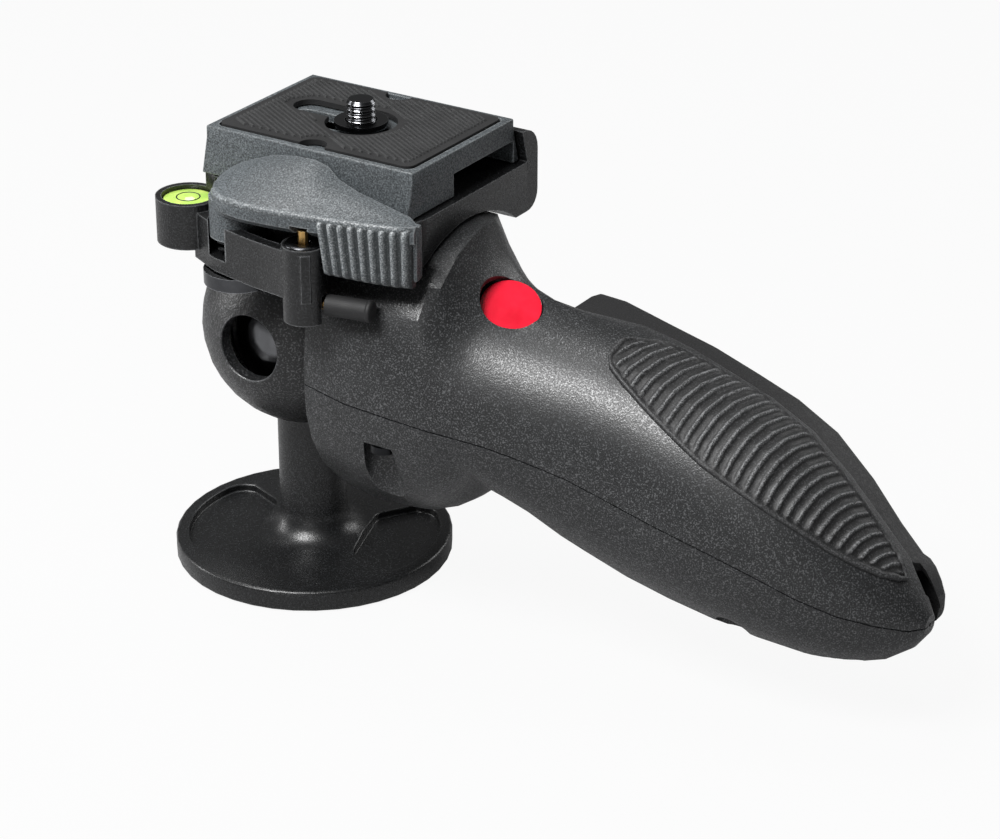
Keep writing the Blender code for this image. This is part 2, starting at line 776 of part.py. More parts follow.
# Rings that ride on the turning and tilting axes
def make_axis_rings():
    inner = STEM_RADIUS + GAP
    top = STEM_TOP_Z - GAP
    wiper = ring("wiper_ring", inner, inner + WIPER_WIDTH, top - WIPER_HEIGHT - BALL_Z, top - BALL_Z,
                 (0, 0, BALL_Z))
    inner_radius = BALL_RADIUS + GAP
    outer_radius = CAVITY_RADIUS - 2 * GAP
    outer = arc((0, 0), outer_radius, math.pi / 2 - LINER_START_ANGLE, math.pi / 2 - LINER_END_ANGLE, 3)
    inner_arc = arc((0, 0), inner_radius, math.pi / 2 - LINER_END_ANGLE, math.pi / 2 - LINER_START_ANGLE, 3)
    liner = turned("front_liner", outer + inner_arc, (0, 0, BALL_Z), (0, -math.pi / 2, 0), 28, closed=True)
    place_all(PAN, black_rubber(wiper))
    place_all(TILT, acetal(liner))


# Housing
def port_turn():
    return (math.pi / 2 - PORT_ELEVATION, 0.0, PORT_AZIMUTH + math.pi / 2)


def make_housing():
    centre = Vector((0, 0, BALL_Z))
    housing = ball("ball_housing", HOUSING_RADIUS, centre, 36, 18)
    join(housing, rod("barrel", BARREL_RADIUS, BARREL_END, on_axis(BARREL_END / 2), ALONG_SLOPE, 32))
    post_low = BALL_Z + POST_HALF_WIDTH
    join(housing, box("post", (POST_START_X, -POST_HALF_WIDTH, post_low),
                      (POST_END_X, POST_HALF_WIDTH, POST_TOP_Z), 0.0))
    cut(housing, ball("cavity", CAVITY_RADIUS, centre, 28, 14))
    bore_end = BARREL_END - BARREL_WALL
    cut(housing, rod("barrel_bore", BARREL_BORE_RADIUS, bore_end, on_axis(bore_end / 2), ALONG_SLOPE, 32))
    cut(housing, rod("rod_way", ROD_RADIUS + GAP, BARREL_END, on_axis(BARREL_END), ALONG_SLOPE))
    reach = HOUSING_RADIUS + OVERRUN
    low = BALL_Z - reach
    cut(housing, rod("stem_way", STEM_OPENING_RADIUS, reach, (0, 0, BALL_Z - reach / 2), steps=32))
    cut(housing, box("tilt_way", (0, -STEM_OPENING_RADIUS, low),
                     (STEM_OPENING_REACH, 0, BALL_Z - STEM_OPENING_RADIUS)))
    cut(housing, box("side_way", (-STEM_OPENING_RADIUS, -STEM_OPENING_RADIUS / 4, low),
                     (STEM_OPENING_REACH, reach, BALL_Z + STEM_OPENING_RADIUS)))
    direction = Vector((0, 0, 1))
    direction.rotate(Euler(port_turn()))
    reach_out = PORT_CHAMFER + OVERRUN
    funnel = ((0.0, reach_out), (PORT_RADIUS + reach_out, reach_out), (PORT_RADIUS, 0.0),
              (PORT_RADIUS, -PORT_RADIUS), (0.0, -PORT_RADIUS))
    cut(housing, turned("port", funnel, centre + direction * (HOUSING_RADIUS - PORT_CHAMFER), port_turn(),
                        30))
    for number, (x, y) in enumerate(PLATFORM_SCREW_PLACES):
        cut(housing, rod("post_hole_%d" % number, PLATFORM_SCREW_RADIUS + GAP, 2 * POST_HOLE_DEPTH,
                         (x, y, POST_TOP_Z)))
    for number, (v, w) in enumerate(FRAME_BOLT_PLACES):
        hole_u = BARREL_END - BARREL_WALL / 2
        cut(housing, rod("bolt_way_%d" % number, FRAME_BOLT_RADIUS + GAP, 2 * BARREL_WALL,
                         on_axis(hole_u, v, w), ALONG_SLOPE))
    place_all(HEAD, black_paint(housing))


# Brake train
def make_brake():
    concave = BALL_RADIUS + GAP
    edge_angle = math.asin((SHOE_RADIUS - GAP) / concave)
    angles = [edge_angle * n / SHOE_FACE_STEPS for n in range(SHOE_FACE_STEPS + 1)]
    face = [(concave * math.sin(t), concave * math.cos(t)) for t in angles]
    profile = [(0.0, SHOE_BACK_U), (SHOE_RADIUS - GAP, SHOE_BACK_U)]
    profile += [(r, u) for r, u in reversed(face)]
    shoe = turned("brake_shoe", profile, (0, 0, BALL_Z), ALONG_SLOPE, 32)
    rod_start = SHOE_BACK_U + GAP
    length = ROD_END_U - rod_start
    push_rod = rod("push_rod", ROD_RADIUS, length, on_axis(rod_start + length / 2), ALONG_SLOPE)
    collar_middle = ROD_COLLAR_U + ROD_COLLAR_WIDTH / 2
    join(push_rod, rod("rod_collar", ROD_COLLAR_RADIUS, ROD_COLLAR_WIDTH, on_axis(collar_middle),
                       ALONG_SLOPE))
    spring_start = SHOE_BACK_U + SPRING_TRAVEL + GAP
    spring_height = BARREL_END - BARREL_WALL - GAP - spring_start
    spring = coil("brake_spring", SPRING_RADIUS, SPRING_WIRE, SPRING_TURNS, spring_height,
                  on_axis(spring_start), ALONG_SLOPE)
    place_all(BRAKE, steel(shoe), steel(push_rod))
    place_all(HEAD, steel(spring))


def make_wheel():
    bm = bmesh.new()
    bmesh.ops.create_cone(bm, cap_ends=True, segments=2 * WHEEL_TEETH, radius1=WHEEL_RADIUS,
                          radius2=WHEEL_RADIUS, depth=WHEEL_WIDTH)
    for vert in bm.verts:
        angle = math.atan2(vert.co.y, vert.co.x)
        if round(angle / (math.pi / WHEEL_TEETH)) % 2:
            vert.co.x -= WHEEL_TOOTH * math.cos(angle)
            vert.co.y -= WHEEL_TOOTH * math.sin(angle)
    wheel = from_bmesh("friction_wheel", bm, on_axis(WHEEL_U + WHEEL_WIDTH / 2), ALONG_SLOPE, smooth=False)
    cut(wheel, rod("wheel_bore", ROD_RADIUS + GAP, 2 * WHEEL_WIDTH, on_axis(WHEEL_U + WHEEL_WIDTH / 2),
                   ALONG_SLOPE))
    place_all(WHEEL, black_rubber(wheel))


# Frame that carries the trigger and the rocker
def axis_box(name, low, high):
    """A block given in the sloping frame: along, across and above the grip axis."""
    low, high = Vector(low), Vector(high)
    bm = bmesh.new()
    bmesh.ops.create_cube(bm, size=1.0)
    bmesh.ops.scale(bm, vec=high - low, verts=bm.verts)
    middle = (low + high) / 2
    return from_bmesh(name, bm, on_axis(*middle), SLOPED, smooth=False)


def upright(name, radius, low, high, u, v, steps=SMALL_STEPS):
    """A round bar square to the sloping axis, from low to high above it."""
    return rod(name, radius, high - low, on_axis(u, v, (low + high) / 2), SLOPED, steps)


def make_frame():
    end = FRAME_START_U + FRAME_BLOCK_LENGTH
    frame = axis_box("grip_frame", (FRAME_START_U, -FRAME_HALF_WIDTH, -FRAME_HALF_HEIGHT),
                     (end, FRAME_HALF_WIDTH, FRAME_HALF_HEIGHT))
    ear_v = TRIGGER_PIN_V + KNUCKLE_RADIUS
    ear_end = TRIGGER_PIN_U + KNUCKLE_RADIUS
    join(frame, axis_box("upper_ear", (EAR_START_U, 0, EAR_HIGH_W - EAR_PLATE), (ear_end, ear_v, EAR_HIGH_W)))
    join(frame, axis_box("lower_ear", (EAR_START_U + GAP, 0, EAR_LOW_W),
                         (ear_end, ear_v, EAR_LOW_W + EAR_PLATE)))
    floor_low = -FRAME_HALF_HEIGHT + GAP
    join(frame, axis_box("frame_floor", (EAR_START_U + 2 * GAP, ROCKER_PIN_V - ROCKER_BOSS_RADIUS, floor_low),
                         (FRAME_END_U, ROD_COLLAR_RADIUS, floor_low + FRAME_PLATE)))
    join(frame, upright("rocker_boss", ROCKER_BOSS_RADIUS, floor_low + GAP, ROCKER_LOW_W - GAP,
                        ROCKER_PIN_U, ROCKER_PIN_V))
    cut(frame, rod("frame_rod_way", ROD_RADIUS + GAP, 6 * FRAME_BLOCK_LENGTH, on_axis(end), ALONG_SLOPE))
    cut(frame, rod("collar_way", ROD_COLLAR_RADIUS + GAP, 4 * ROD_COLLAR_WIDTH,
                   on_axis(ROD_COLLAR_U + ROD_COLLAR_WIDTH), ALONG_SLOPE))
    cut(frame, upright("trigger_pin_way", TRIGGER_PIN_RADIUS + GAP, -2 * FRAME_HALF_HEIGHT,
                       2 * FRAME_HALF_HEIGHT, TRIGGER_PIN_U, TRIGGER_PIN_V))
    cut(frame, upright("rocker_pin_way", TRIGGER_PIN_RADIUS + GAP / 2, -FRAME_HALF_HEIGHT + FRAME_PLATE / 2,
                       2 * FRAME_HALF_HEIGHT, ROCKER_PIN_U, ROCKER_PIN_V))
    for number, (v, w) in enumerate(FRAME_BOLT_PLACES):
        cut(frame, rod("frame_bolt_way_%d" % number, FRAME_BOLT_RADIUS + GAP, 4 * FRAME_BLOCK_LENGTH,
                       on_axis(end, v, w), ALONG_SLOPE))
    place_all(HEAD, finish(frame, (0.32, 0.33, 0.34), 0.45, 0.9))


def make_frame_bolts():
    start = BARREL_END - BARREL_WALL / 2
    end = FRAME_START_U + FRAME_BLOCK_LENGTH + GAP
    head_end = end + FRAME_BOLT_RADIUS
    for number, (v, w) in enumerate(FRAME_BOLT_PLACES, 1):
        bolt = rod("frame_bolt_%d" % number, FRAME_BOLT_RADIUS, end - start + GAP,
                   on_axis((start + end + GAP) / 2, v, w), ALONG_SLOPE)
        join(bolt, rod("bolt_head_%d" % number, FRAME_BOLT_HEAD_RADIUS, FRAME_BOLT_RADIUS,
                       on_axis((end + head_end) / 2, v, w), ALONG_SLOPE))
        place_all(HEAD, steel(bolt))


def make_pins():
    trigger_pin = upright("trigger_pin", TRIGGER_PIN_RADIUS, EAR_LOW_W, EAR_HIGH_W,
                          TRIGGER_PIN_U, TRIGGER_PIN_V)
    rocker_pin = upright("rocker_pin", TRIGGER_PIN_RADIUS, -FRAME_HALF_HEIGHT + FRAME_PLATE / 2 + GAP,
                         ROCKER_HIGH_W + FRAME_PLATE / 2, ROCKER_PIN_U, ROCKER_PIN_V)
    place_all(HEAD, steel(trigger_pin), steel(rocker_pin))


def make_rocker():
    pin = Vector((ROCKER_PIN_U, ROCKER_PIN_V))
    tip = Vector((ROCKER_TIP_U, ROCKER_TIP_V))
    reach = tip - pin
    bearing = math.atan2(reach.y, reach.x)
    outline = arc((0, 0), ROCKER_HALF_WIDTH, math.pi / 2, 3 * math.pi / 2, 8)
    outline += arc((reach.length, 0), ROCKER_TIP_RADIUS, -math.pi / 2, math.pi / 2, 8)
    plate = extruded("rocker", outline, -(ROCKER_HIGH_W - ROCKER_LOW_W) / 2,
                     (ROCKER_HIGH_W - ROCKER_LOW_W) / 2)
    middle_w = (ROCKER_LOW_W + ROCKER_HIGH_W) / 2
    plate.location = on_axis(ROCKER_PIN_U, ROCKER_PIN_V, middle_w)
    plate.rotation_euler = (Matrix.Rotation(GRIP_SLOPE, 3, "Y") @ Matrix.Rotation(bearing, 3, "Z")).to_euler()
    cut(plate, upright("rocker_bore", TRIGGER_PIN_RADIUS + GAP, -FRAME_HALF_HEIGHT, 2 * FRAME_HALF_HEIGHT,
                       ROCKER_PIN_U, ROCKER_PIN_V))
    join(plate, upright("rocker_peg", ROCKER_PEG_RADIUS, ROCKER_PEG_LOW_W, middle_w, ROCKER_PEG_U,
                        ROCKER_PEG_V))
    place_all(ROCKER, steel(plate))


# Grip surface
def station(x):
    """Centre height, half heights up and down and half width of the grip section at x."""
    share = min(max((x - GRIP_FRONT_X) / GRIP_LENGTH, 0.0), 1.0)
    rows = GRIP_STATION_SHARES
    for before, after in zip(rows, rows[1:]):
        if share <= after[0]:
            mix = (share - before[0]) / (after[0] - before[0])
            values = [a + (b - a) * mix for a, b in zip(before, after)]
            break
    else:
        values = list(rows[-1])
    centre = GRIP_TOP_Z - GRIP_DROP * values[1]
    return centre, GRIP_HALF_HEIGHT * values[2], GRIP_HALF_HEIGHT * values[3], GRIP_HALF_WIDTH * values[4]


def eased(value, start, end):
    """Rises smoothly from 0 at start to 1 at end."""
    share = min(max((value - start) / (end - start), 0.0), 1.0)
    return share * share * (3 - 2 * share)


def shoulder_share(x, angle):
    """Share of the width that is kept on the upper far side, where the neck is drawn in for the fingers."""
    lift = math.sin(angle)
    if lift <= 0 or math.cos(angle) <= 0:
        return 1.0
    rise = eased(x, SHOULDER_START_X, SHOULDER_FULL_X)
    fall = eased(x, SHOULDER_END_X, SHOULDER_FADE_X)
    return 1 - SHOULDER_PINCH_SHARE * rise * fall * lift


def grip_point(x, angle, offset=0.0, share=1.0):
    """Point on the grip surface; angle 0 faces +Y, 90 degrees faces up, 180 faces -Y."""
    centre, up, down, half_width = station(x)
    across, along = math.cos(angle), math.sin(angle)
    height = up if along >= 0 else down
    power = GRIP_EXPONENT
    radius = (abs(across / half_width) ** power + abs(along / height) ** power) ** (-1 / power)
    radius = radius * share + offset
    return Vector((x, radius * across * shoulder_share(x, angle), centre + radius * along))


def front_lean(angle):
    """How far the front rim of the grip draws back below the ball."""
    return GRIP_FRONT_LEAN * max(0.0, -math.sin(angle)) ** 4


def shell_angles(x, upper):
    """First and last angle of the upper or lower shell at x, less half a gap each."""
    seam = GAP / 2 / max(station(x)[3], GRIP_WALL)
    if upper:
        return seam, math.pi - seam
    return math.pi + seam, 2 * math.pi - seam


def trigger_wedge(name):
    """Wedge that opens the far side of the grip between the two edges of the trigger slot."""
    bm = bmesh.new()
    rows = []
    xs = [x for x in shell_stations() if TRIGGER_SLOT_START_X < x < TRIGGER_SLOT_END_X]
    for x in [TRIGGER_SLOT_START_X] + xs + [TRIGGER_SLOT_END_X]:
        centre = station(x)[0]
        apex = Vector((x, TRIGGER_SLOT_APEX_SHARE * grip_point(x, TRIGGER_EDGE_ANGLE).y, centre))
        row = [apex]
        for side in (1, -1):
            edge = grip_point(x, side * TRIGGER_EDGE_ANGLE)
            row.append(apex + (edge - apex) * 4)
        rows.append([bm.verts.new(point) for point in row])
    for low, high in zip(rows, rows[1:]):
        for n in range(3):
            after = (n + 1) % 3
            bm.faces.new((low[n], low[after], high[after], high[n]))
    bm.faces.new(rows[0])
    bm.faces.new(rows[-1])
    bmesh.ops.triangulate(bm, faces=bm.faces[:])
    return from_bmesh(name, bm, smooth=False)


def shell_stations():
    xs = [GRIP_FRONT_X + GRIP_LENGTH * row[0] for row in GRIP_STATION_SHARES]
    return sorted(set(xs))


def neck_ceiling(y):
    """Height under the platform's arch that the neck of the shell keeps below at y."""
    radius = ARCH_RADIUS - 2 * GAP
    reach = radius ** 2 - (y - ARCH_Y) ** 2
    return ARCH_TOP_Z - ARCH_RADIUS + math.sqrt(max(reach, 0.0))


def shell_point(x, angle, depth, share=1.0):
    """Point of a grip shell, on its skin or a depth inside it."""
    point = grip_point(x, angle, 0.0, share)
    middle = Vector((x, 0.0, station(x)[0]))
    radius = (point - middle).length
    keep = max(radius - depth, SHELL_TIP_RADIUS) / radius
    point = middle + (point - middle) * keep
    if x < NECK_END_X:
        point.z = min(point.z, neck_ceiling(point.y) - depth)
    front = x == GRIP_FRONT_X
    point.x = min(x + depth, TIP_X) if front else x
    if front:
        point.x += front_lean(angle)
    return point


def shell_surface(name, upper):
    bm = bmesh.new()
    outer, inner = [], []
    rows = [(GRIP_FRONT_X, FRONT_OPENING_SHARE)] + [(x, 1.0) for x in shell_stations()]
    for x, share in rows:
        first, last = shell_angles(x, upper)
        angles = [first + (last - first) * n / SHELL_COLUMNS for n in range(SHELL_COLUMNS + 1)]
        depth = 0.0 if share < 1.0 else GRIP_WALL
        outer.append([bm.verts.new(shell_point(x, angle, 0.0, share)) for angle in angles])
        inner_row = [shell_point(x, angle, depth, share) for angle in angles]
        for point in inner_row:
            if share < 1.0:
                point.x += GRIP_WALL
        inner.append([bm.verts.new(point) for point in inner_row])
    stitch(bm, outer, inner)
    return from_bmesh(name, bm)


def post_space(name, top):
    """Room for the post of the housing where it meets another piece."""
    return box(name, (POST_START_X - GAP, -POST_HALF_WIDTH - GAP, BALL_Z),
               (POST_END_X + GAP, POST_HALF_WIDTH + GAP, top))


def badge_matrix():
    """Rotation that lays the badge on the neck's shoulder."""
    lean = Matrix.Rotation(BADGE_LEAN_BACK, 3, "Y") @ Matrix.Rotation(BADGE_LEAN_SIDE, 3, "X")
    return lean


def badge_place(depth):
    normal = badge_matrix() @ Vector((0, 0, 1))
    return Vector((BADGE_X, BADGE_Y, BADGE_Z)) - normal * depth


def grip_solid(name):
    """The grip's outer form as a closed solid, a little inside its skin."""
    columns = 2 * SHELL_COLUMNS
    bm = bmesh.new()
    rows = []
    for x in shell_stations():
        row = []
        for column in range(columns):
            angle = 2 * math.pi * column / columns
            point = grip_point(x, angle, -GRIP_WALL / 2 if x < TIP_X - GRIP_WALL else 0.0)
            row.append(bm.verts.new(point))
        rows.append(row)
    for low, high in zip(rows, rows[1:]):
        for n in range(columns):
            after = (n + 1) % columns
            bm.faces.new((low[n], low[after], high[after], high[n]))
    bm.faces.new(rows[0])
    bm.faces.new(rows[-1])
    return helper(from_bmesh(name, bm, smooth=False))


def seam_z(x):
    return station(x)[0]


def boss(name, radius, x, y, low, high):
    """A round boss along Z, trimmed to the grip's outer form."""
    made = rod(name, radius, high - low, (x, y, (low + high) / 2))
    step = made.modifiers.new("trim", "BOOLEAN")
    step.operation = "INTERSECT"
    step.object = grip_solid(name + "_form")
    return made


def add_screw_bosses(upper, lower):
    for number, (x, y, drop) in enumerate(SHELL_SCREW_PLACES, 1):
        seam = seam_z(x)
        ceiling = seam - drop
        inner = SHELL_SCREW_RADIUS + GAP
        low_radius = SHELL_SCREW_WELL_RADIUS + SHELL_BOSS_WALL
        top_radius = SHELL_SCREW_RADIUS + SHELL_BOSS_WALL
        low_end = seam_z(x + low_radius) - GAP / 2
        top_start = seam_z(x - top_radius) + GAP / 2
        join(lower, boss("lower_boss_%d" % number, low_radius, x, y, 0.0, low_end))
        cut(lower, rod("screw_well_%d" % number, SHELL_SCREW_WELL_RADIUS, ceiling, (x, y, ceiling / 2)))
        cut(lower, rod("screw_way_%d" % number, inner, 2 * drop, (x, y, seam)))
        join(upper, boss("upper_boss_%d" % number, top_radius, x, y, top_start, seam + SHELL_BOSS_RISE))
        cut(upper, rod("screw_bite_%d" % number, inner, 2 * SHELL_SCREW_BITE + GAP, (x, y, seam)))


def make_shells():
    upper = shell_surface("grip_upper_shell", True)
    lower = shell_surface("grip_lower_shell", False)
    add_screw_bosses(upper, lower)
    cut(upper, post_space("post_way", PLATFORM_TOP_Z), trigger_wedge("upper_wedge"))
    cut(lower, trigger_wedge("lower_wedge"))
    recess = BADGE_RECESS + BADGE_RADIUS
    cut(upper, rod("badge_recess", BADGE_RADIUS + GAP, recess, badge_place(BADGE_RECESS - recess / 2),
                   badge_matrix().to_euler(), 32))
    floor_z = grip_point(WINDOW_X, -math.pi / 2).z
    cut(lower, box("wheel_window", (WINDOW_X - WINDOW_LENGTH / 2, -WINDOW_WIDTH / 2, 0.0),
                   (WINDOW_X + WINDOW_LENGTH / 2, WINDOW_WIDTH / 2, floor_z + WINDOW_HEIGHT)))
    place_all(HEAD, grip_plastic(upper), grip_plastic(lower))


def make_shell_screws():
    for number, (x, y, drop) in enumerate(SHELL_SCREW_PLACES, 1):
        seam = seam_z(x)
        head_top = seam - drop - GAP
        head_low = head_top - SHELL_SCREW_HEAD_HEIGHT
        top = seam + SHELL_SCREW_BITE - GAP
        shaft_low = head_top - GAP
        screw = rod("shell_screw_%d" % number, SHELL_SCREW_RADIUS, top - shaft_low,
                    (x, y, (top + shaft_low) / 2))
        join(screw, rod("shell_screw_head_%d" % number, SHELL_SCREW_HEAD_RADIUS, SHELL_SCREW_HEAD_HEIGHT,
                        (x, y, (head_low + head_top) / 2)))
        cut(screw, rod("shell_screw_socket_%d" % number, SHELL_SCREW_RADIUS, SHELL_SCREW_HEAD_HEIGHT,
                       (x, y, head_low), steps=6))
        place_all(HEAD, steel(screw))


def make_pad():
    """A leaf-shaped patch that follows the grip, with ribs across it and a bead round its edge."""
    rows = 2 * PAD_RIBS
    outer, inner = [], []
    bm = bmesh.new()
    for n in range(rows + 1):
        share = n / rows
        x = PAD_START_X + (PAD_END_X - PAD_START_X) * share
        middle = table_value(PAD_CENTRE_ANGLE_SHARES, share)
        half = table_value(PAD_HALF_ANGLE_SHARES, share)
        up_row, low_row = [], []
        for column in range(PAD_COLUMNS + 1):
            side = 2 * column / PAD_COLUMNS - 1
            angle = math.radians(middle + half * side)
            on_edge = column in (0, PAD_COLUMNS) or n in (0, rows)
            rib = PAD_RIB_HEIGHT if (n % 2 or on_edge) else 0.0
            up_row.append(bm.verts.new(grip_point(x, angle, GAP + PAD_THICKNESS + rib)))
            low_row.append(bm.verts.new(grip_point(x, angle, GAP)))
        outer.append(up_row)
        inner.append(low_row)
    stitch(bm, outer, inner)
    pad = from_bmesh("grip_pad", bm, smooth=False)
    place_all(HEAD, black_rubber(pad))


def table_value(table, share):
    """Smooth value from an evenly spaced table at a share of its length."""
    position = share * (len(table) - 1)
    index = min(int(position), len(table) - 2)
    mix = position - index
    return table[index] + (table[index + 1] - table[index]) * mix


def stitch(bm, outer, inner):
    """Faces of a closed slab between two grids of vertices."""
    for grid in (outer, inner):
        for low, high in zip(grid, grid[1:]):
            for a, b, c, d in zip(low, low[1:], high[1:], high):
                bm.faces.new((a, b, c, d))
    rims = (
        (outer[0], inner[0]),
        (outer[-1], inner[-1]),
        ([row[0] for row in outer], [row[0] for row in inner]),
        ([row[-1] for row in outer], [row[-1] for row in inner]),
    )
    for top, bottom in rims:
        for a, b, c, d in zip(top, top[1:], bottom[1:], bottom):
            bm.faces.new((a, b, c, d))


def make_badge():
    middle = BADGE_RECESS - GAP - BADGE_THICKNESS / 2
    badge = rod("badge", BADGE_RADIUS, BADGE_THICKNESS, badge_place(middle), badge_matrix().to_euler(), 32,
                0.0)
    place_all(HEAD, finish(badge, (0.62, 0.02, 0.04), 0.18))


# Trigger
def trigger_section(x, inset):
    """Corners of the trigger's open section at x, as (y, z) from the top lip to the bottom lip."""
    channel_x = min(x, TRIGGER_CHANNEL_END_X)
    beyond = x - channel_x
    taper = TRIGGER_TONGUE_TAPER * (beyond / (TRIGGER_END_X - TRIGGER_CHANNEL_END_X)) ** 2
    drop = station(channel_x)[0] - station(x)[0]
    top_edge = grip_point(channel_x, TRIGGER_EDGE_ANGLE)
    low_edge = grip_point(channel_x, -TRIGGER_EDGE_ANGLE)
    margin = GRIP_WALL + TRIGGER_TOP_INSET + inset
    top = top_edge.z - margin - drop - taper
    low = low_edge.z + margin - drop + taper
    side = station(channel_x)[3] + TRIGGER_PROUD - inset - taper
    lip = low_edge.y + GAP
    corner = min(TRIGGER_CORNER_SHARE * (top - low), (side - lip) / 2)
    if beyond > 0:
        lip = side + inset - corner - TRIGGER_WALL
    middle = (lip + side - corner) / 2
    points = [(lip, top), (middle, top)]
    points += reversed(arc((side - corner, top - corner), corner, 0.0, math.pi / 2, 4))
    points.append((side, (top + low) / 2))
    points += reversed(arc((side - corner, low + corner), corner, -math.pi / 2, 0.0, 4))
    points += [(middle, low), (lip, low)]
    return points


def trigger_stations():
    tongue = TRIGGER_END_X - TRIGGER_CHANNEL_END_X
    xs = [TRIGGER_START_X, TRIGGER_CHANNEL_END_X]
    xs += [x for x in shell_stations() if TRIGGER_START_X < x < TRIGGER_CHANNEL_END_X]
    steps = range(1, TRIGGER_TONGUE_STEPS + 1)
    xs += [TRIGGER_CHANNEL_END_X + tongue * n / TRIGGER_TONGUE_STEPS for n in steps]
    return sorted(xs)


def make_trigger():
    bm = bmesh.new()
    outer, inner = [], []
    for x in trigger_stations():
        outer.append([bm.verts.new((x, y, z)) for y, z in trigger_section(x, 0.0)])
        inner.append([bm.verts.new((x, y, z)) for y, z in trigger_section(x, TRIGGER_WALL)])
    stitch(bm, outer, inner)
    trigger = from_bmesh("trigger", bm)
    knuckle_low = EAR_LOW_W + EAR_PLATE + GAP
    knuckle_high = EAR_HIGH_W - EAR_PLATE - GAP
    wall_v = grip_point(TRIGGER_START_X, 0.0).y + TRIGGER_PROUD - TRIGGER_WALL / 2
    web = KNUCKLE_RADIUS / 2
    join(trigger, axis_box("knuckle_web", (TRIGGER_PIN_U - web, TRIGGER_PIN_V + web, knuckle_low + GAP),
                           (TRIGGER_PIN_U + web, wall_v, knuckle_high - GAP)))
    join(trigger, upright("knuckle", KNUCKLE_RADIUS - GAP, knuckle_low, knuckle_high, TRIGGER_PIN_U,
                          TRIGGER_PIN_V))
    push_v = grip_point(on_axis(PUSHER_END_U).x, 0.0).y + TRIGGER_PROUD - TRIGGER_WALL / 2
    join(trigger, axis_box("pusher", (PUSHER_START_U, ROCKER_TIP_V + ROCKER_TIP_RADIUS + GAP, ROCKER_LOW_W),
                           (PUSHER_END_U, push_v, ROCKER_HIGH_W)))
    cut(trigger, upright("knuckle_bore", TRIGGER_PIN_RADIUS + GAP, -2 * FRAME_HALF_HEIGHT,
                         2 * FRAME_HALF_HEIGHT,
                         TRIGGER_PIN_U, TRIGGER_PIN_V))
    place_all(TRIGGER, finish(trigger, (0.012, 0.012, 0.013), 0.65))


# Platform
def rounded_plan(low, high, corner):
    """A rectangle in XY with round corners."""
    quarter = math.pi / 2
    corners = ((high[0], high[1]), (low[0], high[1]), (low[0], low[1]), (high[0], low[1]))
    points = []
    for number, (x, y) in enumerate(corners):
        centre_x = x - corner if x == high[0] else x + corner
        centre_y = y - corner if y == high[1] else y + corner
        points += arc((centre_x, centre_y), corner, number * quarter, (number + 1) * quarter, 5)
    return points


def along_x(name, outline, start, end):
    """An outline of (y, z) points drawn out along X."""
    half = (end - start) / 2
    obj = extruded(name, outline, -half, half)
    obj.location = ((start + end) / 2, 0.0, 0.0)
    obj.rotation_euler = (math.pi / 2, 0.0, math.pi / 2)
    return obj


def upright_rod(name, radius, x, y, low, high, steps=SMALL_STEPS):
    return rod(name, radius, high - low, (x, y, (low + high) / 2), steps=steps)


def plate_side_y(z):
    """Half width of the quick release plate at a height."""
    rim_z = PLATE_TOP_Z - PLATE_RIM
    share = min(max((z - PLATE_BOTTOM_Z) / (rim_z - PLATE_BOTTOM_Z), 0.0), 1.0)
    return (PLATE_BOTTOM_WIDTH + (PLATE_TOP_WIDTH - PLATE_BOTTOM_WIDTH) * share) / 2


def make_rail():
    """The fixed jaw on the far side: it leans over the plate, and its outer edges are well rounded."""
    low = PLATFORM_TOP_Z - OVERRUN
    slot_y = plate_side_y(PLATE_BOTTOM_Z) + 2 * GAP
    foot = (PLATFORM_FAR_Y - RAIL_FOOT_ROUND, PLATFORM_BOTTOM_Z + RAIL_FOOT_ROUND)
    head = (PLATFORM_FAR_Y - RAIL_TOP_ROUND, RAIL_TOP_Z - RAIL_TOP_ROUND)
    outline = [(slot_y, low), (RAIL_FOOT_Y, low), (RAIL_FOOT_Y, PLATFORM_BOTTOM_Z)]
    outline += arc(foot, RAIL_FOOT_ROUND, -math.pi / 2, 0.0, RAIL_ROUND_STEPS)
    outline += arc(head, RAIL_TOP_ROUND, 0.0, math.pi / 2, RAIL_ROUND_STEPS)
    outline += [(plate_side_y(RAIL_TOP_Z) + 2 * GAP, RAIL_TOP_Z), (slot_y, PLATE_BOTTOM_Z)]
    return along_x("far_rail", outline, RAIL_START_X, PLATFORM_END_X)


def far_edge_cutter():
    """What rounds the lower far edge of the platform."""
    start = (PLATFORM_FAR_Y - RAIL_FOOT_ROUND, PLATFORM_BOTTOM_Z + RAIL_FOOT_ROUND)
    outline = arc(start, RAIL_FOOT_ROUND, -math.pi / 2, 0.0, RAIL_ROUND_STEPS)
    outline += [(PLATFORM_FAR_Y + OVERRUN, start[1]), (PLATFORM_FAR_Y + OVERRUN, PLATFORM_BOTTOM_Z - OVERRUN)]
    outline.append((start[0], PLATFORM_BOTTOM_Z - OVERRUN))
    return along_x("far_edge", outline, PLATFORM_START_X - OVERRUN, PLATFORM_END_X + OVERRUN)


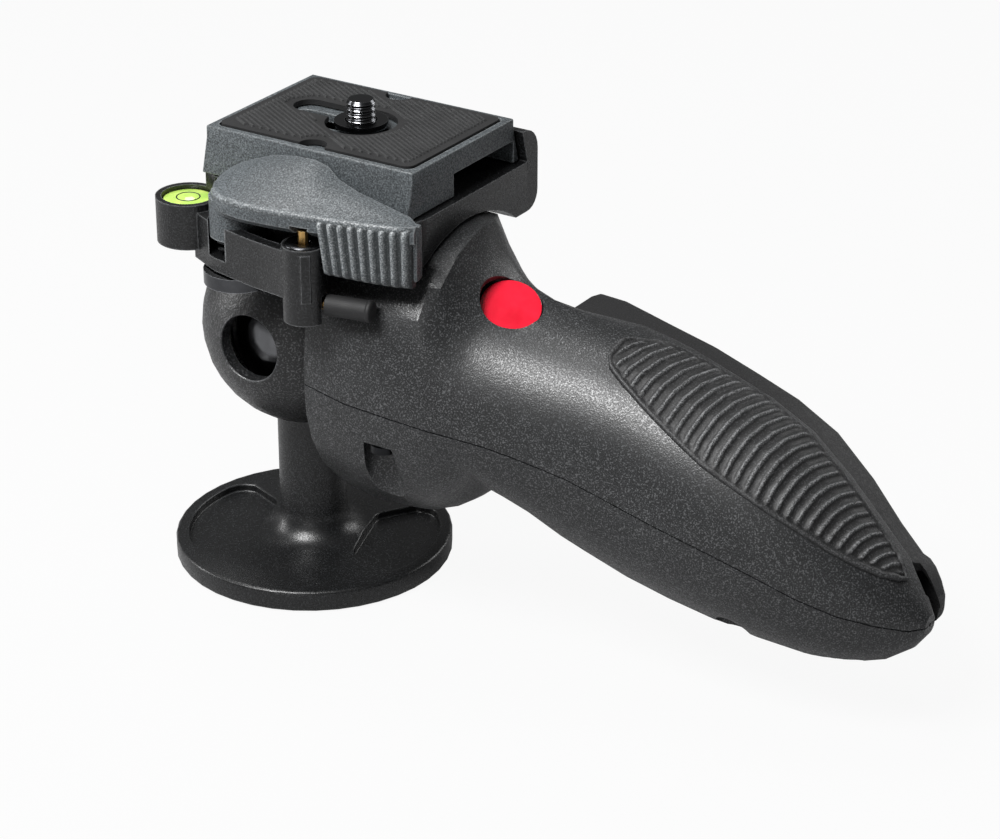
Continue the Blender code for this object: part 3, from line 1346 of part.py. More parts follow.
def cut_boss(platform):
    cut(platform, upright_rod("pin_way", SAFETY_PIN_RADIUS + GAP, BOSS_X, BOSS_Y, BOSS_BOTTOM_Z - OVERRUN,
                              BOSS_TOP_Z + OVERRUN))
    cut(platform, upright_rod("pin_chamber", PIN_CHAMBER_RADIUS, BOSS_X, BOSS_Y, PIN_CHAMBER_LOW_Z,
                              BOSS_TOP_Z + OVERRUN))
    slot_low = BOSS_BOTTOM_Z - OVERRUN
    slot_top = SAFETY_PIN_BEND_Z + 2 * SAFETY_PIN_RADIUS
    slot = box("arm_slot", (0, -SAFETY_PIN_RADIUS - GAP, slot_low),
               (2 * BOSS_RADIUS, SAFETY_PIN_RADIUS + GAP, slot_top))
    turn = Matrix.Rotation(SAFETY_PIN_TURN, 3, "Z")
    slot.location = Vector((BOSS_X, BOSS_Y, 0)) + turn @ slot.location
    slot.rotation_euler = (0, 0, SAFETY_PIN_TURN)
    cut(platform, slot)


def make_platform():
    plan = rounded_plan((PLATFORM_START_X, PLATFORM_NEAR_Y), (PLATFORM_END_X, PLATFORM_FAR_Y),
                        PLATFORM_CORNER)
    platform = extruded("platform", plan, PLATFORM_BOTTOM_Z, PLATFORM_TOP_Z)
    arch_length = 2 * (PLATFORM_END_X - PLATFORM_START_X)
    arch_place = (PLATFORM_END_X, ARCH_Y, ARCH_TOP_Z - ARCH_RADIUS)
    cut(platform, rod("arch", ARCH_RADIUS, arch_length, arch_place, ALONG_X, 64), far_edge_cutter())
    seat_top = ARCH_TOP_Z + OVERRUN
    seat_half = POST_HALF_WIDTH - OVERRUN
    join(platform, box("seat", (POST_START_X, -seat_half, SEAT_Z), (POST_END_X, seat_half, seat_top)))
    cut(platform, post_space("platform_post_space", SEAT_Z))
    join(platform, make_rail())
    join(platform, extruded("bracket", BRACKET_OUTLINE, BRACKET_BOTTOM_Z, BRACKET_TOP_Z))
    floor = BRACKET_BOTTOM_Z + BRACKET_FLOOR
    cut(platform, extruded("bracket_pocket", BRACKET_POCKET, floor, BRACKET_TOP_Z + OVERRUN))
    cut(platform, upright_rod("lever_well", LEVER_BARREL_RADIUS + GAP, PIVOT_X, PIVOT_Y, floor,
                              PLATFORM_TOP_Z + OVERRUN, 32))
    cut(platform, upright_rod("pivot_way", PIVOT_RADIUS + GAP, PIVOT_X, PIVOT_Y, BOSS_BOTTOM_Z,
                              LEVER_BOTTOM_Z))
    cut(platform, box("neck_way", (BRACKET_NECK_X, BRACKET_NECK_Y, BOSS_BOTTOM_Z),
                      (PLATFORM_END_X, 0, PLATFORM_BOTTOM_Z)))
    join(platform, upright_rod("pin_boss", BOSS_RADIUS, BOSS_X, BOSS_Y, BOSS_BOTTOM_Z, BOSS_TOP_Z, 28))
    cut_boss(platform)
    level_low = LEVEL_BOSS_TOP_Z - LEVEL_BOSS_HEIGHT
    join(platform, upright_rod("level_boss", LEVEL_BOSS_RADIUS, LEVEL_X, LEVEL_Y, level_low,
                               LEVEL_BOSS_TOP_Z, 32))
    cut(platform, upright_rod("level_cup", LEVEL_CUP_RADIUS, LEVEL_X, LEVEL_Y,
                              LEVEL_BOSS_TOP_Z - LEVEL_CUP_DEPTH,
                              PLATFORM_TOP_Z + OVERRUN, 32))
    for number, (x, y) in enumerate(PLATFORM_SCREW_PLACES, 1):
        head_low = PLATFORM_TOP_Z - PLATFORM_SCREW_HEAD_HEIGHT - GAP
        cut(platform, upright_rod("screw_way_top_%d" % number, PLATFORM_SCREW_HEAD_RADIUS + GAP, x, y,
                                  head_low,
                                  PLATFORM_TOP_Z + OVERRUN))
        cut(platform, upright_rod("screw_way_low_%d" % number, PLATFORM_SCREW_RADIUS + GAP, x, y, BALL_Z,
                                  PLATFORM_TOP_Z))
        make_platform_screw(number, x, y, head_low + GAP)
    place_all(HEAD, black_paint(platform), make_level_vial())


def make_platform_screw(number, x, y, head_low):
    head_top = head_low + PLATFORM_SCREW_HEAD_HEIGHT
    screw = upright_rod("platform_screw_%d" % number, PLATFORM_SCREW_RADIUS, x, y,
                        head_low - PLATFORM_SCREW_LENGTH,
                        head_low + GAP)
    join(screw, upright_rod("platform_screw_head_%d" % number, PLATFORM_SCREW_HEAD_RADIUS, x, y, head_low,
                            head_top - GAP))
    cut(screw, upright_rod("platform_screw_socket_%d" % number, PLATFORM_SCREW_RADIUS, x, y,
                           head_low + GAP, head_top + OVERRUN, 6))
    place_all(HEAD, steel(screw))


def make_level_vial():
    low = LEVEL_BOSS_TOP_Z - LEVEL_CUP_DEPTH + GAP
    vial = upright_rod("level_vial", LEVEL_CUP_RADIUS - GAP, LEVEL_X, LEVEL_Y, low, low + LEVEL_VIAL_HEIGHT,
                       32)
    return finish(vial, (0.55, 0.66, 0.08), 0.1)


# Lever
def lever_section(row):
    x, near, back, top = row
    low_back = -plate_side_y(PLATE_BOTTOM_Z) - 2 * GAP
    edge = LEVER_EDGE_Z
    soft = 2 * EDGE_RADIUS
    width = back - near
    rise = top - edge
    points = [(min(back, low_back), LEVER_BOTTOM_Z), (near + soft, LEVER_BOTTOM_Z),
              (near, LEVER_BOTTOM_Z + soft)]
    points += [(near, edge - soft), (near + EDGE_RADIUS, edge)]
    for share in LEVER_ROUND_SHARES:
        points.append((near + soft + (width - 2 * soft) * share, edge + rise * math.sin(share * math.pi / 2)))
    points += [(back - EDGE_RADIUS, top), (back, top - EDGE_RADIUS), (min(back, low_back), PLATE_BOTTOM_Z)]
    return [(x, y, z) for y, z in points]


def make_lever():
    bm = bmesh.new()
    rows = [[bm.verts.new(point) for point in lever_section(row)] for row in LEVER_PLAN]
    for low, high in zip(rows, rows[1:]):
        for n in range(len(low)):
            after = (n + 1) % len(low)
            bm.faces.new((low[n], low[after], high[after], high[n]))
    bm.faces.new(rows[0])
    bm.faces.new(rows[-1])
    lever = from_bmesh("release_lever", bm)
    join(lever, upright_rod("lever_barrel", LEVER_BARREL_RADIUS, PIVOT_X, PIVOT_Y, LEVER_BARREL_LOW_Z,
                            PLATFORM_TOP_Z - GAP, 32))
    cut(lever, upright_rod("lever_bore", PIVOT_RADIUS + GAP, PIVOT_X, PIVOT_Y, BRACKET_BOTTOM_Z,
                           PIVOT_TOP_Z + GAP))
    distance = math.hypot(BOSS_X - PIVOT_X, BOSS_Y - PIVOT_Y)
    groove = ring("pin_groove", distance - PIN_GROOVE_WIDTH / 2, distance + PIN_GROOVE_WIDTH / 2,
                  -PIN_GROOVE_HEIGHT, PIN_GROOVE_HEIGHT, (PIVOT_X, PIVOT_Y, LEVER_BOTTOM_Z), steps=48)
    cut(lever, groove)
    join(lever, make_tab())
    place_all(LEVER, grey_paint(lever))


def make_tab():
    """The thumb tab: a rounded plate with upright ribs on the face that the thumb pushes."""
    length = TAB_END_X - TAB_START_X
    height = LEVER_EDGE_Z - GAP - TAB_BOTTOM_Z
    turn = Matrix.Rotation(TAB_TURN, 3, "Z")
    corner = Vector((TAB_START_X, TAB_BACK_Y, (TAB_BOTTOM_Z + LEVER_EDGE_Z - GAP) / 2))
    tab = box("thumb_tab", (0, 0, 0), (length, TAB_THICKNESS, height), TAB_EDGE)
    tab.location = corner + turn @ Vector((length / 2, -TAB_THICKNESS / 2, 0))
    tab.rotation_euler = (0, 0, TAB_TURN)
    pitch = (length - 2 * TAB_EDGE) / TAB_RIBS
    rib_height = height - 2 * TAB_EDGE
    for n in range(TAB_RIBS):
        along = TAB_EDGE + pitch * (n + 1 / 2)
        place = corner + turn @ Vector((along, -TAB_THICKNESS, 0))
        join(tab, rod("tab_rib_%d" % n, TAB_RIB_RADIUS, rib_height, place, steps=8,
                      tip_radius=TAB_RIB_RADIUS - GAP / 2))
    return tab


def make_lever_pivot():
    pin = upright_rod("lever_pivot", PIVOT_RADIUS, PIVOT_X, PIVOT_Y, BRACKET_BOTTOM_Z - OVERRUN, PIVOT_TOP_Z)
    cap_top = BRACKET_BOTTOM_Z - GAP
    join(pin, upright_rod("pivot_cap", PIVOT_CAP_RADIUS, PIVOT_X, PIVOT_Y, cap_top - PIVOT_CAP_HEIGHT,
                          cap_top, 32))
    floor = BRACKET_BOTTOM_Z + BRACKET_FLOOR + GAP
    spring = coil("lever_spring", LEVER_SPRING_RADIUS, LEVER_SPRING_WIRE, LEVER_SPRING_TURNS,
                  LEVER_BARREL_LOW_Z - GAP - floor, (PIVOT_X, PIVOT_Y, floor))
    place_all(HEAD, black_chrome(pin), steel(spring))


# Safety pin
def make_safety_pin():
    reach = (math.cos(SAFETY_PIN_TURN), math.sin(SAFETY_PIN_TURN))
    bend = SAFETY_PIN_RADIUS * 2
    turns = (0.0, math.pi / 6, math.pi / 3, math.pi / 2)
    corner = [(bend - bend * math.cos(t), bend - bend * math.sin(t)) for t in turns]
    flat = [(0.0, SAFETY_PIN_TOP_Z - SAFETY_PIN_BEND_Z)] + corner + [(SAFETY_PIN_ARM, 0.0)]
    points = [(reach[0] * u, reach[1] * u, h) for u, h in flat]
    pin = bent_wire("safety_pin", points, SAFETY_PIN_RADIUS, (BOSS_X, BOSS_Y, SAFETY_PIN_BEND_Z),
                    resolution=3)
    join(pin, upright_rod("pin_collar", PIN_COLLAR_RADIUS, BOSS_X, BOSS_Y, PIN_COLLAR_LOW_Z,
                          PIN_COLLAR_LOW_Z + PIN_COLLAR_HEIGHT))
    middle = SAFETY_PIN_ARM - SLEEVE_LENGTH / 2
    sleeve_place = (BOSS_X + reach[0] * middle, BOSS_Y + reach[1] * middle, SAFETY_PIN_BEND_Z)
    sleeve = ring("pin_sleeve", SAFETY_PIN_RADIUS + GAP, SLEEVE_RADIUS, -SLEEVE_LENGTH / 2, SLEEVE_LENGTH / 2,
                  sleeve_place, (0, math.pi / 2, SAFETY_PIN_TURN))
    spring_low = PIN_CHAMBER_LOW_Z + GAP
    spring = coil("pin_spring", PIN_SPRING_RADIUS, PIN_SPRING_WIRE, PIN_SPRING_TURNS,
                  PIN_COLLAR_LOW_Z - GAP - spring_low, (BOSS_X, BOSS_Y, spring_low))
    place_all(PIN, brass(pin), black_rubber(sleeve))
    place_all(HEAD, steel(spring))


# Quick release plate
def slot_plan(middle_y):
    """Outline of a slot along X with round ends."""
    half = SLOT_WIDTH / 2
    points = arc((SLOT_END_X - half, middle_y), half, -math.pi / 2, math.pi / 2, 8)
    points += arc((SLOT_START_X + half, middle_y), half, math.pi / 2, 3 * math.pi / 2, 8)
    return points


def make_plate():
    start, end = PLATE_X - PLATE_LENGTH / 2, PLATE_X + PLATE_LENGTH / 2
    rim_z = PLATE_TOP_Z - PLATE_RIM
    foot, shoulder = PLATE_BOTTOM_WIDTH / 2, PLATE_TOP_WIDTH / 2
    outline = ((-foot, PLATE_BOTTOM_Z), (foot, PLATE_BOTTOM_Z), (shoulder, rim_z), (shoulder, PLATE_TOP_Z),
               (-shoulder, PLATE_TOP_Z), (-shoulder, rim_z))
    plate = bevel(along_x("release_plate", outline, start, end), 2 * EDGE_RADIUS / 3)
    margin = PLATE_POCKET_MARGIN
    ceiling = PLATE_TOP_Z - PLATE_FLOOR
    cut(plate, box("plate_pocket", (start + margin, margin - shoulder, PLATE_BOTTOM_Z - OVERRUN),
                   (end - margin, shoulder - margin, ceiling)))
    half_window = PLATE_WINDOW_WIDTH / 2
    cut(plate, box("plate_window", (end - 2 * margin, PLATE_WINDOW_Y - half_window, PLATE_BOTTOM_Z - OVERRUN),
                   (end + OVERRUN, PLATE_WINDOW_Y + half_window, PLATE_WINDOW_TOP_Z)))
    recess_z = PLATE_TOP_Z - (RUBBER_THICKNESS - RUBBER_PROUD) - GAP
    inset = RUBBER_MARGIN - GAP
    recess = rounded_plan((start + inset, inset - shoulder), (end - inset, shoulder - inset), RUBBER_CORNER)
    cut(plate, extruded("rubber_recess", recess, recess_z, PLATE_TOP_Z + OVERRUN))
    cut(plate, extruded("screw_slot", slot_plan(SCREW_Y), PLATE_BOTTOM_Z, PLATE_TOP_Z + OVERRUN))
    place_all(HEAD, grey_paint(plate), make_rubber(start, end, recess_z + GAP))


def make_rubber(start, end, low):
    half = PLATE_TOP_WIDTH / 2 - RUBBER_MARGIN
    plan = rounded_plan((start + RUBBER_MARGIN, -half), (end - RUBBER_MARGIN, half), RUBBER_CORNER)
    top = low + RUBBER_THICKNESS
    rubber = extruded("plate_rubber", plan, low, top)
    cut(rubber, extruded("rubber_slot", slot_plan(SLOT_Y), low - OVERRUN, top + OVERRUN))
    cut(rubber, upright_rod("ring_hole", RING_HOLE_RADIUS, SCREW_X, SCREW_Y, low - OVERRUN, top + OVERRUN,
                            32))
    for name, x, y in (("near_notch", NEAR_NOTCH_X, -half), ("far_notch", FAR_NOTCH_X, half)):
        cut(rubber, upright_rod(name, NOTCH_RADIUS, x, y, low - OVERRUN, top + OVERRUN))
    return black_rubber(rubber)


def screw_profile():
    """Half section of the camera screw with its thread grooves, from top to bottom."""
    core = SCREW_RADIUS * SCREW_CORE_SHARE
    half_pitch = SCREW_PITCH / 2
    profile = [(0.0, SCREW_TOP_Z), (core, SCREW_TOP_Z)]
    z = SCREW_TOP_Z - half_pitch
    while z > FLANGE_TOP_Z:
        profile += [(SCREW_RADIUS, z), (core, z - half_pitch)]
        z -= SCREW_PITCH
    head_top = PLATE_TOP_Z - PLATE_FLOOR - GAP
    head_low = head_top - SCREW_HEAD_HEIGHT
    profile += [(core, head_top), (SCREW_HEAD_RADIUS, head_top), (SCREW_HEAD_RADIUS, head_low),
                (0.0, head_low)]
    return profile


def make_camera_screw():
    place = (SCREW_X, SCREW_Y, 0)
    profile = screw_profile()
    screw = turned("camera_screw", profile, place, steps=20)
    head_low = profile[-1][1]
    half = SCREW_SLOT_WIDTH / 2
    cut(screw, box("driver_slot", (SCREW_X - 2 * SCREW_HEAD_RADIUS, SCREW_Y - half, head_low - OVERRUN),
                   (SCREW_X + 2 * SCREW_HEAD_RADIUS, SCREW_Y + half, head_low + SCREW_HEAD_HEIGHT / 2)))
    flange = ring("screw_flange", SCREW_RADIUS + GAP, FLANGE_RADIUS, FLANGE_TOP_Z - FLANGE_THICKNESS,
                  FLANGE_TOP_Z,
                  place, steps=32)
    place_all(SCREW, black_chrome(screw), black_chrome(flange))


def make_pivots():
    global ORIGIN, PAN, TILT, HEAD, BRAKE, WHEEL, TRIGGER, ROCKER, LEVER, PIN, SCREW
    ORIGIN = pivot("layout_origin", (0, 0, 0))
    PAN = pivot("pan_axis", (0, 0, BALL_Z), ORIGIN)
    TILT = pivot("tilt_axis", (0, 0, BALL_Z), PAN)
    HEAD = pivot("side_tilt_axis", (0, 0, BALL_Z), TILT)
    BRAKE = pivot("brake_axis", on_axis(SHOE_BACK_U), HEAD, GRIP_SLOPE)
    WHEEL = pivot("wheel_axis", on_axis(WHEEL_U), HEAD, GRIP_SLOPE)
    TRIGGER = pivot("trigger_axis", on_axis(TRIGGER_PIN_U, TRIGGER_PIN_V), HEAD, GRIP_SLOPE)
    ROCKER = pivot("rocker_axis", on_axis(ROCKER_PIN_U, ROCKER_PIN_V), HEAD, GRIP_SLOPE)
    LEVER = pivot("lever_axis", (PIVOT_X, PIVOT_Y, BRACKET_BOTTOM_Z), HEAD)
    PIN = pivot("safety_pin_axis", (BOSS_X, BOSS_Y, SAFETY_PIN_BEND_Z), HEAD)
    SCREW = pivot("camera_screw_axis", (SCREW_X, SCREW_Y, PLATE_TOP_Z), HEAD)


def build():
    make_pivots()
    make_base()
    make_ball()
    make_axis_rings()
    make_housing()
    make_brake()
    make_wheel()
    make_frame()
    make_frame_bolts()
    make_pins()
    make_rocker()
    make_shells()
    make_shell_screws()
    make_pad()
    make_badge()
    make_trigger()
    make_platform()
    make_lever()
    make_lever_pivot()
    make_safety_pin()
    make_plate()
    make_camera_screw()
    ORIGIN.location = (-ORIGIN_X, -ORIGIN_Y, 0.0)
    bpy.context.view_layer.update()


build()
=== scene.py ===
"""Looks of the joystick head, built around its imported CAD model. Lengths are in metres."""

import json
import math

import bmesh
import bpy
from mathutils import Matrix, Vector
from mathutils.bvhtree import BVHTree


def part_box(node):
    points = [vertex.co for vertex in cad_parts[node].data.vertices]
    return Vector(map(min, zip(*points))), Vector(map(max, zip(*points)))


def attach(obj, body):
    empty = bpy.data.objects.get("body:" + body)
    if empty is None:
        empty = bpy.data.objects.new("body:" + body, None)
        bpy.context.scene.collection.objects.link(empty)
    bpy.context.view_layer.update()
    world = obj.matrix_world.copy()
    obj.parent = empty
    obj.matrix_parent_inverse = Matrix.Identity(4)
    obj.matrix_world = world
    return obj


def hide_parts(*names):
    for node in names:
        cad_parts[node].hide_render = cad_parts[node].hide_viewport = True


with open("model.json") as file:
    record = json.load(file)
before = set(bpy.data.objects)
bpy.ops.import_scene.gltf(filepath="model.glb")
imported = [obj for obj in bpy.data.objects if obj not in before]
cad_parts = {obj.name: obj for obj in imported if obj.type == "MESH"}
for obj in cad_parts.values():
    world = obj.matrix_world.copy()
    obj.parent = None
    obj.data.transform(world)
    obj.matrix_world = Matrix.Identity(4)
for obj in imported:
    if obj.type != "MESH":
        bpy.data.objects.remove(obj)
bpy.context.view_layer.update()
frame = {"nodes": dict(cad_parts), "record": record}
NODES = frame["nodes"]
BODY_OF = {node: body for body, members in frame["record"]["behaviour"]["bodies"].items() for node in members}
SLOT_OF = {part["node"]: part["material_slot"] for part in frame["record"]["subparts"]}

MM = 0.001

# From the stem's axis, where the part was drawn, to the frame's origin
STEM_SHIFT = Vector((-60.55 * MM, 2.35 * MM, 0.0))

# Camera at the photograph's angle
CAMERA_PLACE = (0.3064938541, -0.4941823637, 0.3298078004)
CAMERA_RIGHT = (0.842628582, 0.538494299, 0.000981337)
CAMERA_UP = (-0.235179968, 0.366365851, 0.900259094)
CAMERA_BACK = (0.484424862, -0.758814834, 0.43535342)
CAMERA_LENS = 109.98
CAMERA_SENSOR = 36.0

# Edges bent more than this stay sharp, and points closer than this are joined
SHARP_ANGLE = math.radians(32)
WELD = 0.004 * MM


# Node trees
class Tree:
    """A material's node tree, with short calls for the nodes that the finishes use."""

    def __init__(self, name):
        self.material = bpy.data.materials.new(name)
        self.material.use_nodes = True
        self.tree = self.material.node_tree
        self.shader = self.tree.nodes["Principled BSDF"]
        self.point = self.node("ShaderNodeTexCoord").outputs["Object"]

    def node(self, kind, **settings):
        node = self.tree.nodes.new(kind)
        for key, value in settings.items():
            setattr(node, key, value)
        return node

    def link(self, source, target):
        self.tree.links.new(source, target)

    def fill(self, socket, value):
        if isinstance(value, bpy.types.NodeSocket):
            self.link(value, socket)
        else:
            socket.default_value = value

    def noise(self, cell, detail=3.0, rough=0.55, warp=0.0):
        """Noise from 0 to 1 with features about one cell wide."""
        node = self.node("ShaderNodeTexNoise")
        node.inputs["Scale"].default_value = 1.0 / cell
        node.inputs["Detail"].default_value = detail
        node.inputs["Roughness"].default_value = rough
        node.inputs["Distortion"].default_value = warp
        self.link(self.point, node.inputs["Vector"])
        return node.outputs["Fac"]

    def spread(self, value, low, high, out_low=0.0, out_high=1.0):
        """Maps a span of values to another one and clamps it."""
        node = self.node("ShaderNodeMapRange")
        node.inputs["From Min"].default_value = low
        node.inputs["From Max"].default_value = high
        node.inputs["To Min"].default_value = out_low
        node.inputs["To Max"].default_value = out_high
        self.link(value, node.inputs["Value"])
        return node.outputs["Result"]

    def maths(self, operation, first, second=0.0):
        node = self.node("ShaderNodeMath", operation=operation)
        self.fill(node.inputs[0], first)
        self.fill(node.inputs[1], second)
        return node.outputs[0]

    def blend(self, share, first, second):
        """Mixes two colours, each a colour or a socket."""
        node = self.node("ShaderNodeMix", data_type="RGBA")
        self.fill(node.inputs["Factor"], share)
        for socket, value in ((node.inputs["A"], first), (node.inputs["B"], second)):
            self.fill(socket, value if isinstance(value, bpy.types.NodeSocket) else (*value, 1.0))
        return node.outputs["Result"]

    def bump(self, height, depth, normal=None):
        node = self.node("ShaderNodeBump")
        node.inputs["Strength"].default_value = 1.0
        node.inputs["Distance"].default_value = depth
        self.link(height, node.inputs["Height"])
        if normal is not None:
            self.link(normal, node.inputs["Normal"])
        return node.outputs["Normal"]

    def edge(self, radius, low=0.02, high=0.20):
        """Near 1 on convex and concave edges narrower than the radius, 0 on open surfaces."""
        rounded = self.node("ShaderNodeBevel", samples=4)
        rounded.inputs["Radius"].default_value = radius
        flat = self.node("ShaderNodeNewGeometry").outputs["Normal"]
        dot = self.node("ShaderNodeVectorMath", operation="DOT_PRODUCT")
        self.link(rounded.outputs["Normal"], dot.inputs[0])
        self.link(flat, dot.inputs[1])
        return self.spread(self.maths("SUBTRACT", 1.0, dot.outputs["Value"]), low, high)

    def finish(self, colour, roughness, normal=None, **constants):
        self.fill(self.shader.inputs["Base Color"], colour)
        self.fill(self.shader.inputs["Roughness"], roughness)
        if normal is not None:
            self.link(normal, self.shader.inputs["Normal"])
        for key, value in constants.items():
            self.shader.inputs[key.replace("_", " ")].default_value = value
        return self.material


def grained(name, colour, speck, roughness, grain, depth, rim_highlight=None, rim_highlight_radius=0.5 * MM, specks=0.5,
            **constants):
    """Textured paint or moulded plastic: dark base, light grains, slow random changes of tone and lighter
    edges, a painted rim highlight.
    """
    tree = Tree(name)
    fine = tree.noise(grain, 1.0, 0.5)
    coarse = tree.noise(grain * 2.7, 2.0, 0.5)
    slow = tree.noise(22 * MM, 2.0, 0.5)
    dark = [channel * 0.80 for channel in colour]
    light = [channel * 1.18 for channel in colour]
    base = tree.blend(tree.spread(slow, 0.3, 0.7), dark, light)
    base = tree.blend(tree.spread(fine, 0.36, 0.50), [channel * 0.35 for channel in colour], base)
    base = tree.blend(tree.spread(fine, 0.55, 0.68, 0.0, specks), base, speck)
    # Lighter, patchy colour along convex and concave edges: a painted rim highlight.
    if rim_highlight is not None:
        rim_highlight_share = tree.maths("MULTIPLY", tree.edge(rim_highlight_radius), tree.spread(coarse, 0.3, 0.6, 0.35, 0.85))
        base = tree.blend(rim_highlight_share, base, rim_highlight)
    rough = tree.spread(fine, 0.4, 0.65, roughness + 0.10, roughness - 0.08)
    height = tree.maths("ADD", fine, tree.maths("MULTIPLY", coarse, 0.6))
    return tree.finish(base, rough, tree.bump(height, depth), **constants)


def metal(name, colour, roughness, grain=0.25 * MM, depth=0.004 * MM, rim_highlight=None):
    """Bare or plated metal with a fine machined grain and a few darker marks."""
    tree = Tree(name)
    fine = tree.noise(grain, 3.0, 0.6)
    slow = tree.noise(6 * MM, 3.0, 0.6, 0.4)
    dark = [channel * 0.72 for channel in colour]
    base = tree.blend(tree.spread(slow, 0.32, 0.68), colour, dark)
    # Lighter colour along the edges, where rim_highlight is given: a painted glint on the rims.
    if rim_highlight is not None:
        base = tree.blend(tree.edge(0.25 * MM), base, rim_highlight)
    rough = tree.spread(slow, 0.3, 0.7, roughness - 0.05, roughness + 0.09)
    return tree.finish(base, rough, tree.bump(fine, depth), Metallic=1.0)


def rubber(name, colour, speck, roughness, grain=0.22 * MM, depth=0.05 * MM, specks=0.3):
    tree = Tree(name)
    fine = tree.noise(grain, 3.0, 0.7)
    slow = tree.noise(8 * MM, 2.0, 0.5)
    dark = [channel * 0.75 for channel in colour]
    base = tree.blend(tree.spread(slow, 0.35, 0.65), dark, colour)
    base = tree.blend(tree.spread(fine, 0.56, 0.78, 0.0, specks), base, speck)
    rough = tree.spread(slow, 0.3, 0.7, roughness - 0.05, roughness + 0.06)
    return tree.finish(base, rough, tree.bump(fine, depth))


def red_enamel():
    tree = Tree("red_enamel")
    slow = tree.noise(5 * MM, 2.0, 0.5)
    base = tree.blend(tree.spread(slow, 0.3, 0.7), (0.56, 0.006, 0.022), (0.68, 0.012, 0.035))
    rough = tree.spread(tree.noise(1.2 * MM), 0.3, 0.7, 0.16, 0.26)
    return tree.finish(base, rough, tree.bump(tree.noise(2.5 * MM), 0.01 * MM), Coat_Weight=0.6,
                       Coat_Roughness=0.08)


def vial_green():
    tree = Tree("vial_green")
    slow = tree.noise(3 * MM, 2.0, 0.5)
    base = tree.blend(tree.spread(slow, 0.3, 0.7), (0.33, 0.55, 0.09), (0.55, 0.72, 0.16))
    rough = tree.spread(slow, 0.3, 0.7, 0.08, 0.14)
    return tree.finish(base, rough, tree.bump(slow, 0.01 * MM), Coat_Weight=0.8, Coat_Roughness=0.04)


def bubble_green():
    tree = Tree("bubble_green")
    slow = tree.noise(1.5 * MM, 2.0, 0.5)
    base = tree.blend(tree.spread(slow, 0.3, 0.7), (0.70, 0.86, 0.42), (0.84, 0.93, 0.60))
    rough = tree.spread(slow, 0.3, 0.7, 0.06, 0.12)
    return tree.finish(base, rough, tree.bump(slow, 0.01 * MM), Coat_Weight=0.8, Coat_Roughness=0.03)


def white_acetal():
    return grained("white_acetal", (0.62, 0.61, 0.57), (0.75, 0.74, 0.70), 0.42, 0.5 * MM, 0.004 * MM,
                   specks=0.2)


# Finishes given a rim_highlight colour get lighter edges: a painted rim highlight.
FINISHES = {
    "black_paint": grained("satin_black_paint", (0.0042, 0.0044, 0.0047), (0.045, 0.047, 0.05), 0.32,
                           0.34 * MM,
                           0.035 * MM, rim_highlight=(0.15, 0.155, 0.16), rim_highlight_radius=0.5 * MM, specks=0.4),
    "housing_paint": grained("cast_black_paint", (0.0062, 0.0065, 0.007), (0.12, 0.122, 0.125), 0.36,
                             0.40 * MM,
                             0.10 * MM, rim_highlight=(0.10, 0.105, 0.11), specks=0.55),
    "steel": metal("zinc_steel", (0.58, 0.59, 0.60), 0.28),
    # The steel ball is darker than bare steel, to look as it does inside its port: painted shade.
    "ball_steel": metal("ball_steel", (0.17, 0.173, 0.18), 0.17, depth=0.002 * MM),
    "spring_steel": metal("spring_steel", (0.42, 0.43, 0.45), 0.3),
    "dark_steel": metal("black_chrome", (0.085, 0.087, 0.092), 0.20, rim_highlight=(0.45, 0.46, 0.48)),
    "frame_alloy": metal("cast_alloy", (0.40, 0.41, 0.42), 0.42, 0.5 * MM, 0.02 * MM),
    "rubber_black": rubber("speckled_rubber", (0.0055, 0.0055, 0.006), (0.07, 0.072, 0.075), 0.62),
    "acetal": white_acetal(),
    "grip_plastic": grained("soft_charcoal", (0.0135, 0.0142, 0.0150), (0.135, 0.138, 0.142), 0.38, 0.33 * MM,
                            0.050 * MM, specks=0.55),
    "trigger_plastic": grained("matt_black_plastic", (0.0040, 0.0040, 0.0044), (0.020, 0.020, 0.022), 0.60,
                               0.34 * MM, 0.03 * MM, specks=0.4),
    "red_gloss": red_enamel(),
    "grey_paint": grained("sanded_grey_paint", (0.060, 0.069, 0.075), (0.17, 0.185, 0.19), 0.50, 0.34 * MM,
                          0.055 * MM, rim_highlight=(0.27, 0.285, 0.29), rim_highlight_radius=0.6 * MM, specks=0.45),
    "vial_fluid": vial_green(),
    "brass": metal("bright_brass", (0.78, 0.48, 0.17), 0.24, rim_highlight=(0.9, 0.68, 0.36)),
}
BUBBLE = bubble_green()
# A lighter copy of the plate's rubber for its ribs: painted light on the rib tops.
RIB_RUBBER_LIT = rubber("rib_rubber_painted_light", (0.020, 0.0205, 0.021), (0.17, 0.173, 0.176), 0.60, 0.30 * MM, 0.06 * MM,
                    0.5)
# Lighter grey for the bead along the lever's edge: a painted highlight.
LEVER_RIM_HIGHLIGHT_GREY = grained("lever_rim_painted_highlight", (0.12, 0.133, 0.14), (0.33, 0.34, 0.345), 0.46, 0.36 * MM, 0.05 * MM,
                    specks=0.5)
# Near-black steel for the shell screws and the lever spring; on the screws down in their pockets the dark is
# painted shade.
NEAR_BLACK_STEEL_SHADE = metal("near_black_steel_painted_shade", (0.03, 0.031, 0.033), 0.35)


# Pieces
def place(obj, node, finish=None):
    """The piece rides on the node's body and stands for the node."""
    bpy.context.scene.collection.objects.link(obj)
    obj.data.materials.clear()
    obj.data.materials.append(finish or FINISHES[SLOT_OF[node]])
    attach(obj, BODY_OF[node])
    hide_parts(node)
    return obj


def add(obj, node, finish=None):
    """The piece rides on the node's body, beside the node."""
    bpy.context.scene.collection.objects.link(obj)
    obj.data.materials.clear()
    obj.data.materials.append(finish or FINISHES[SLOT_OF[node]])
    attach(obj, BODY_OF[node])
    return obj


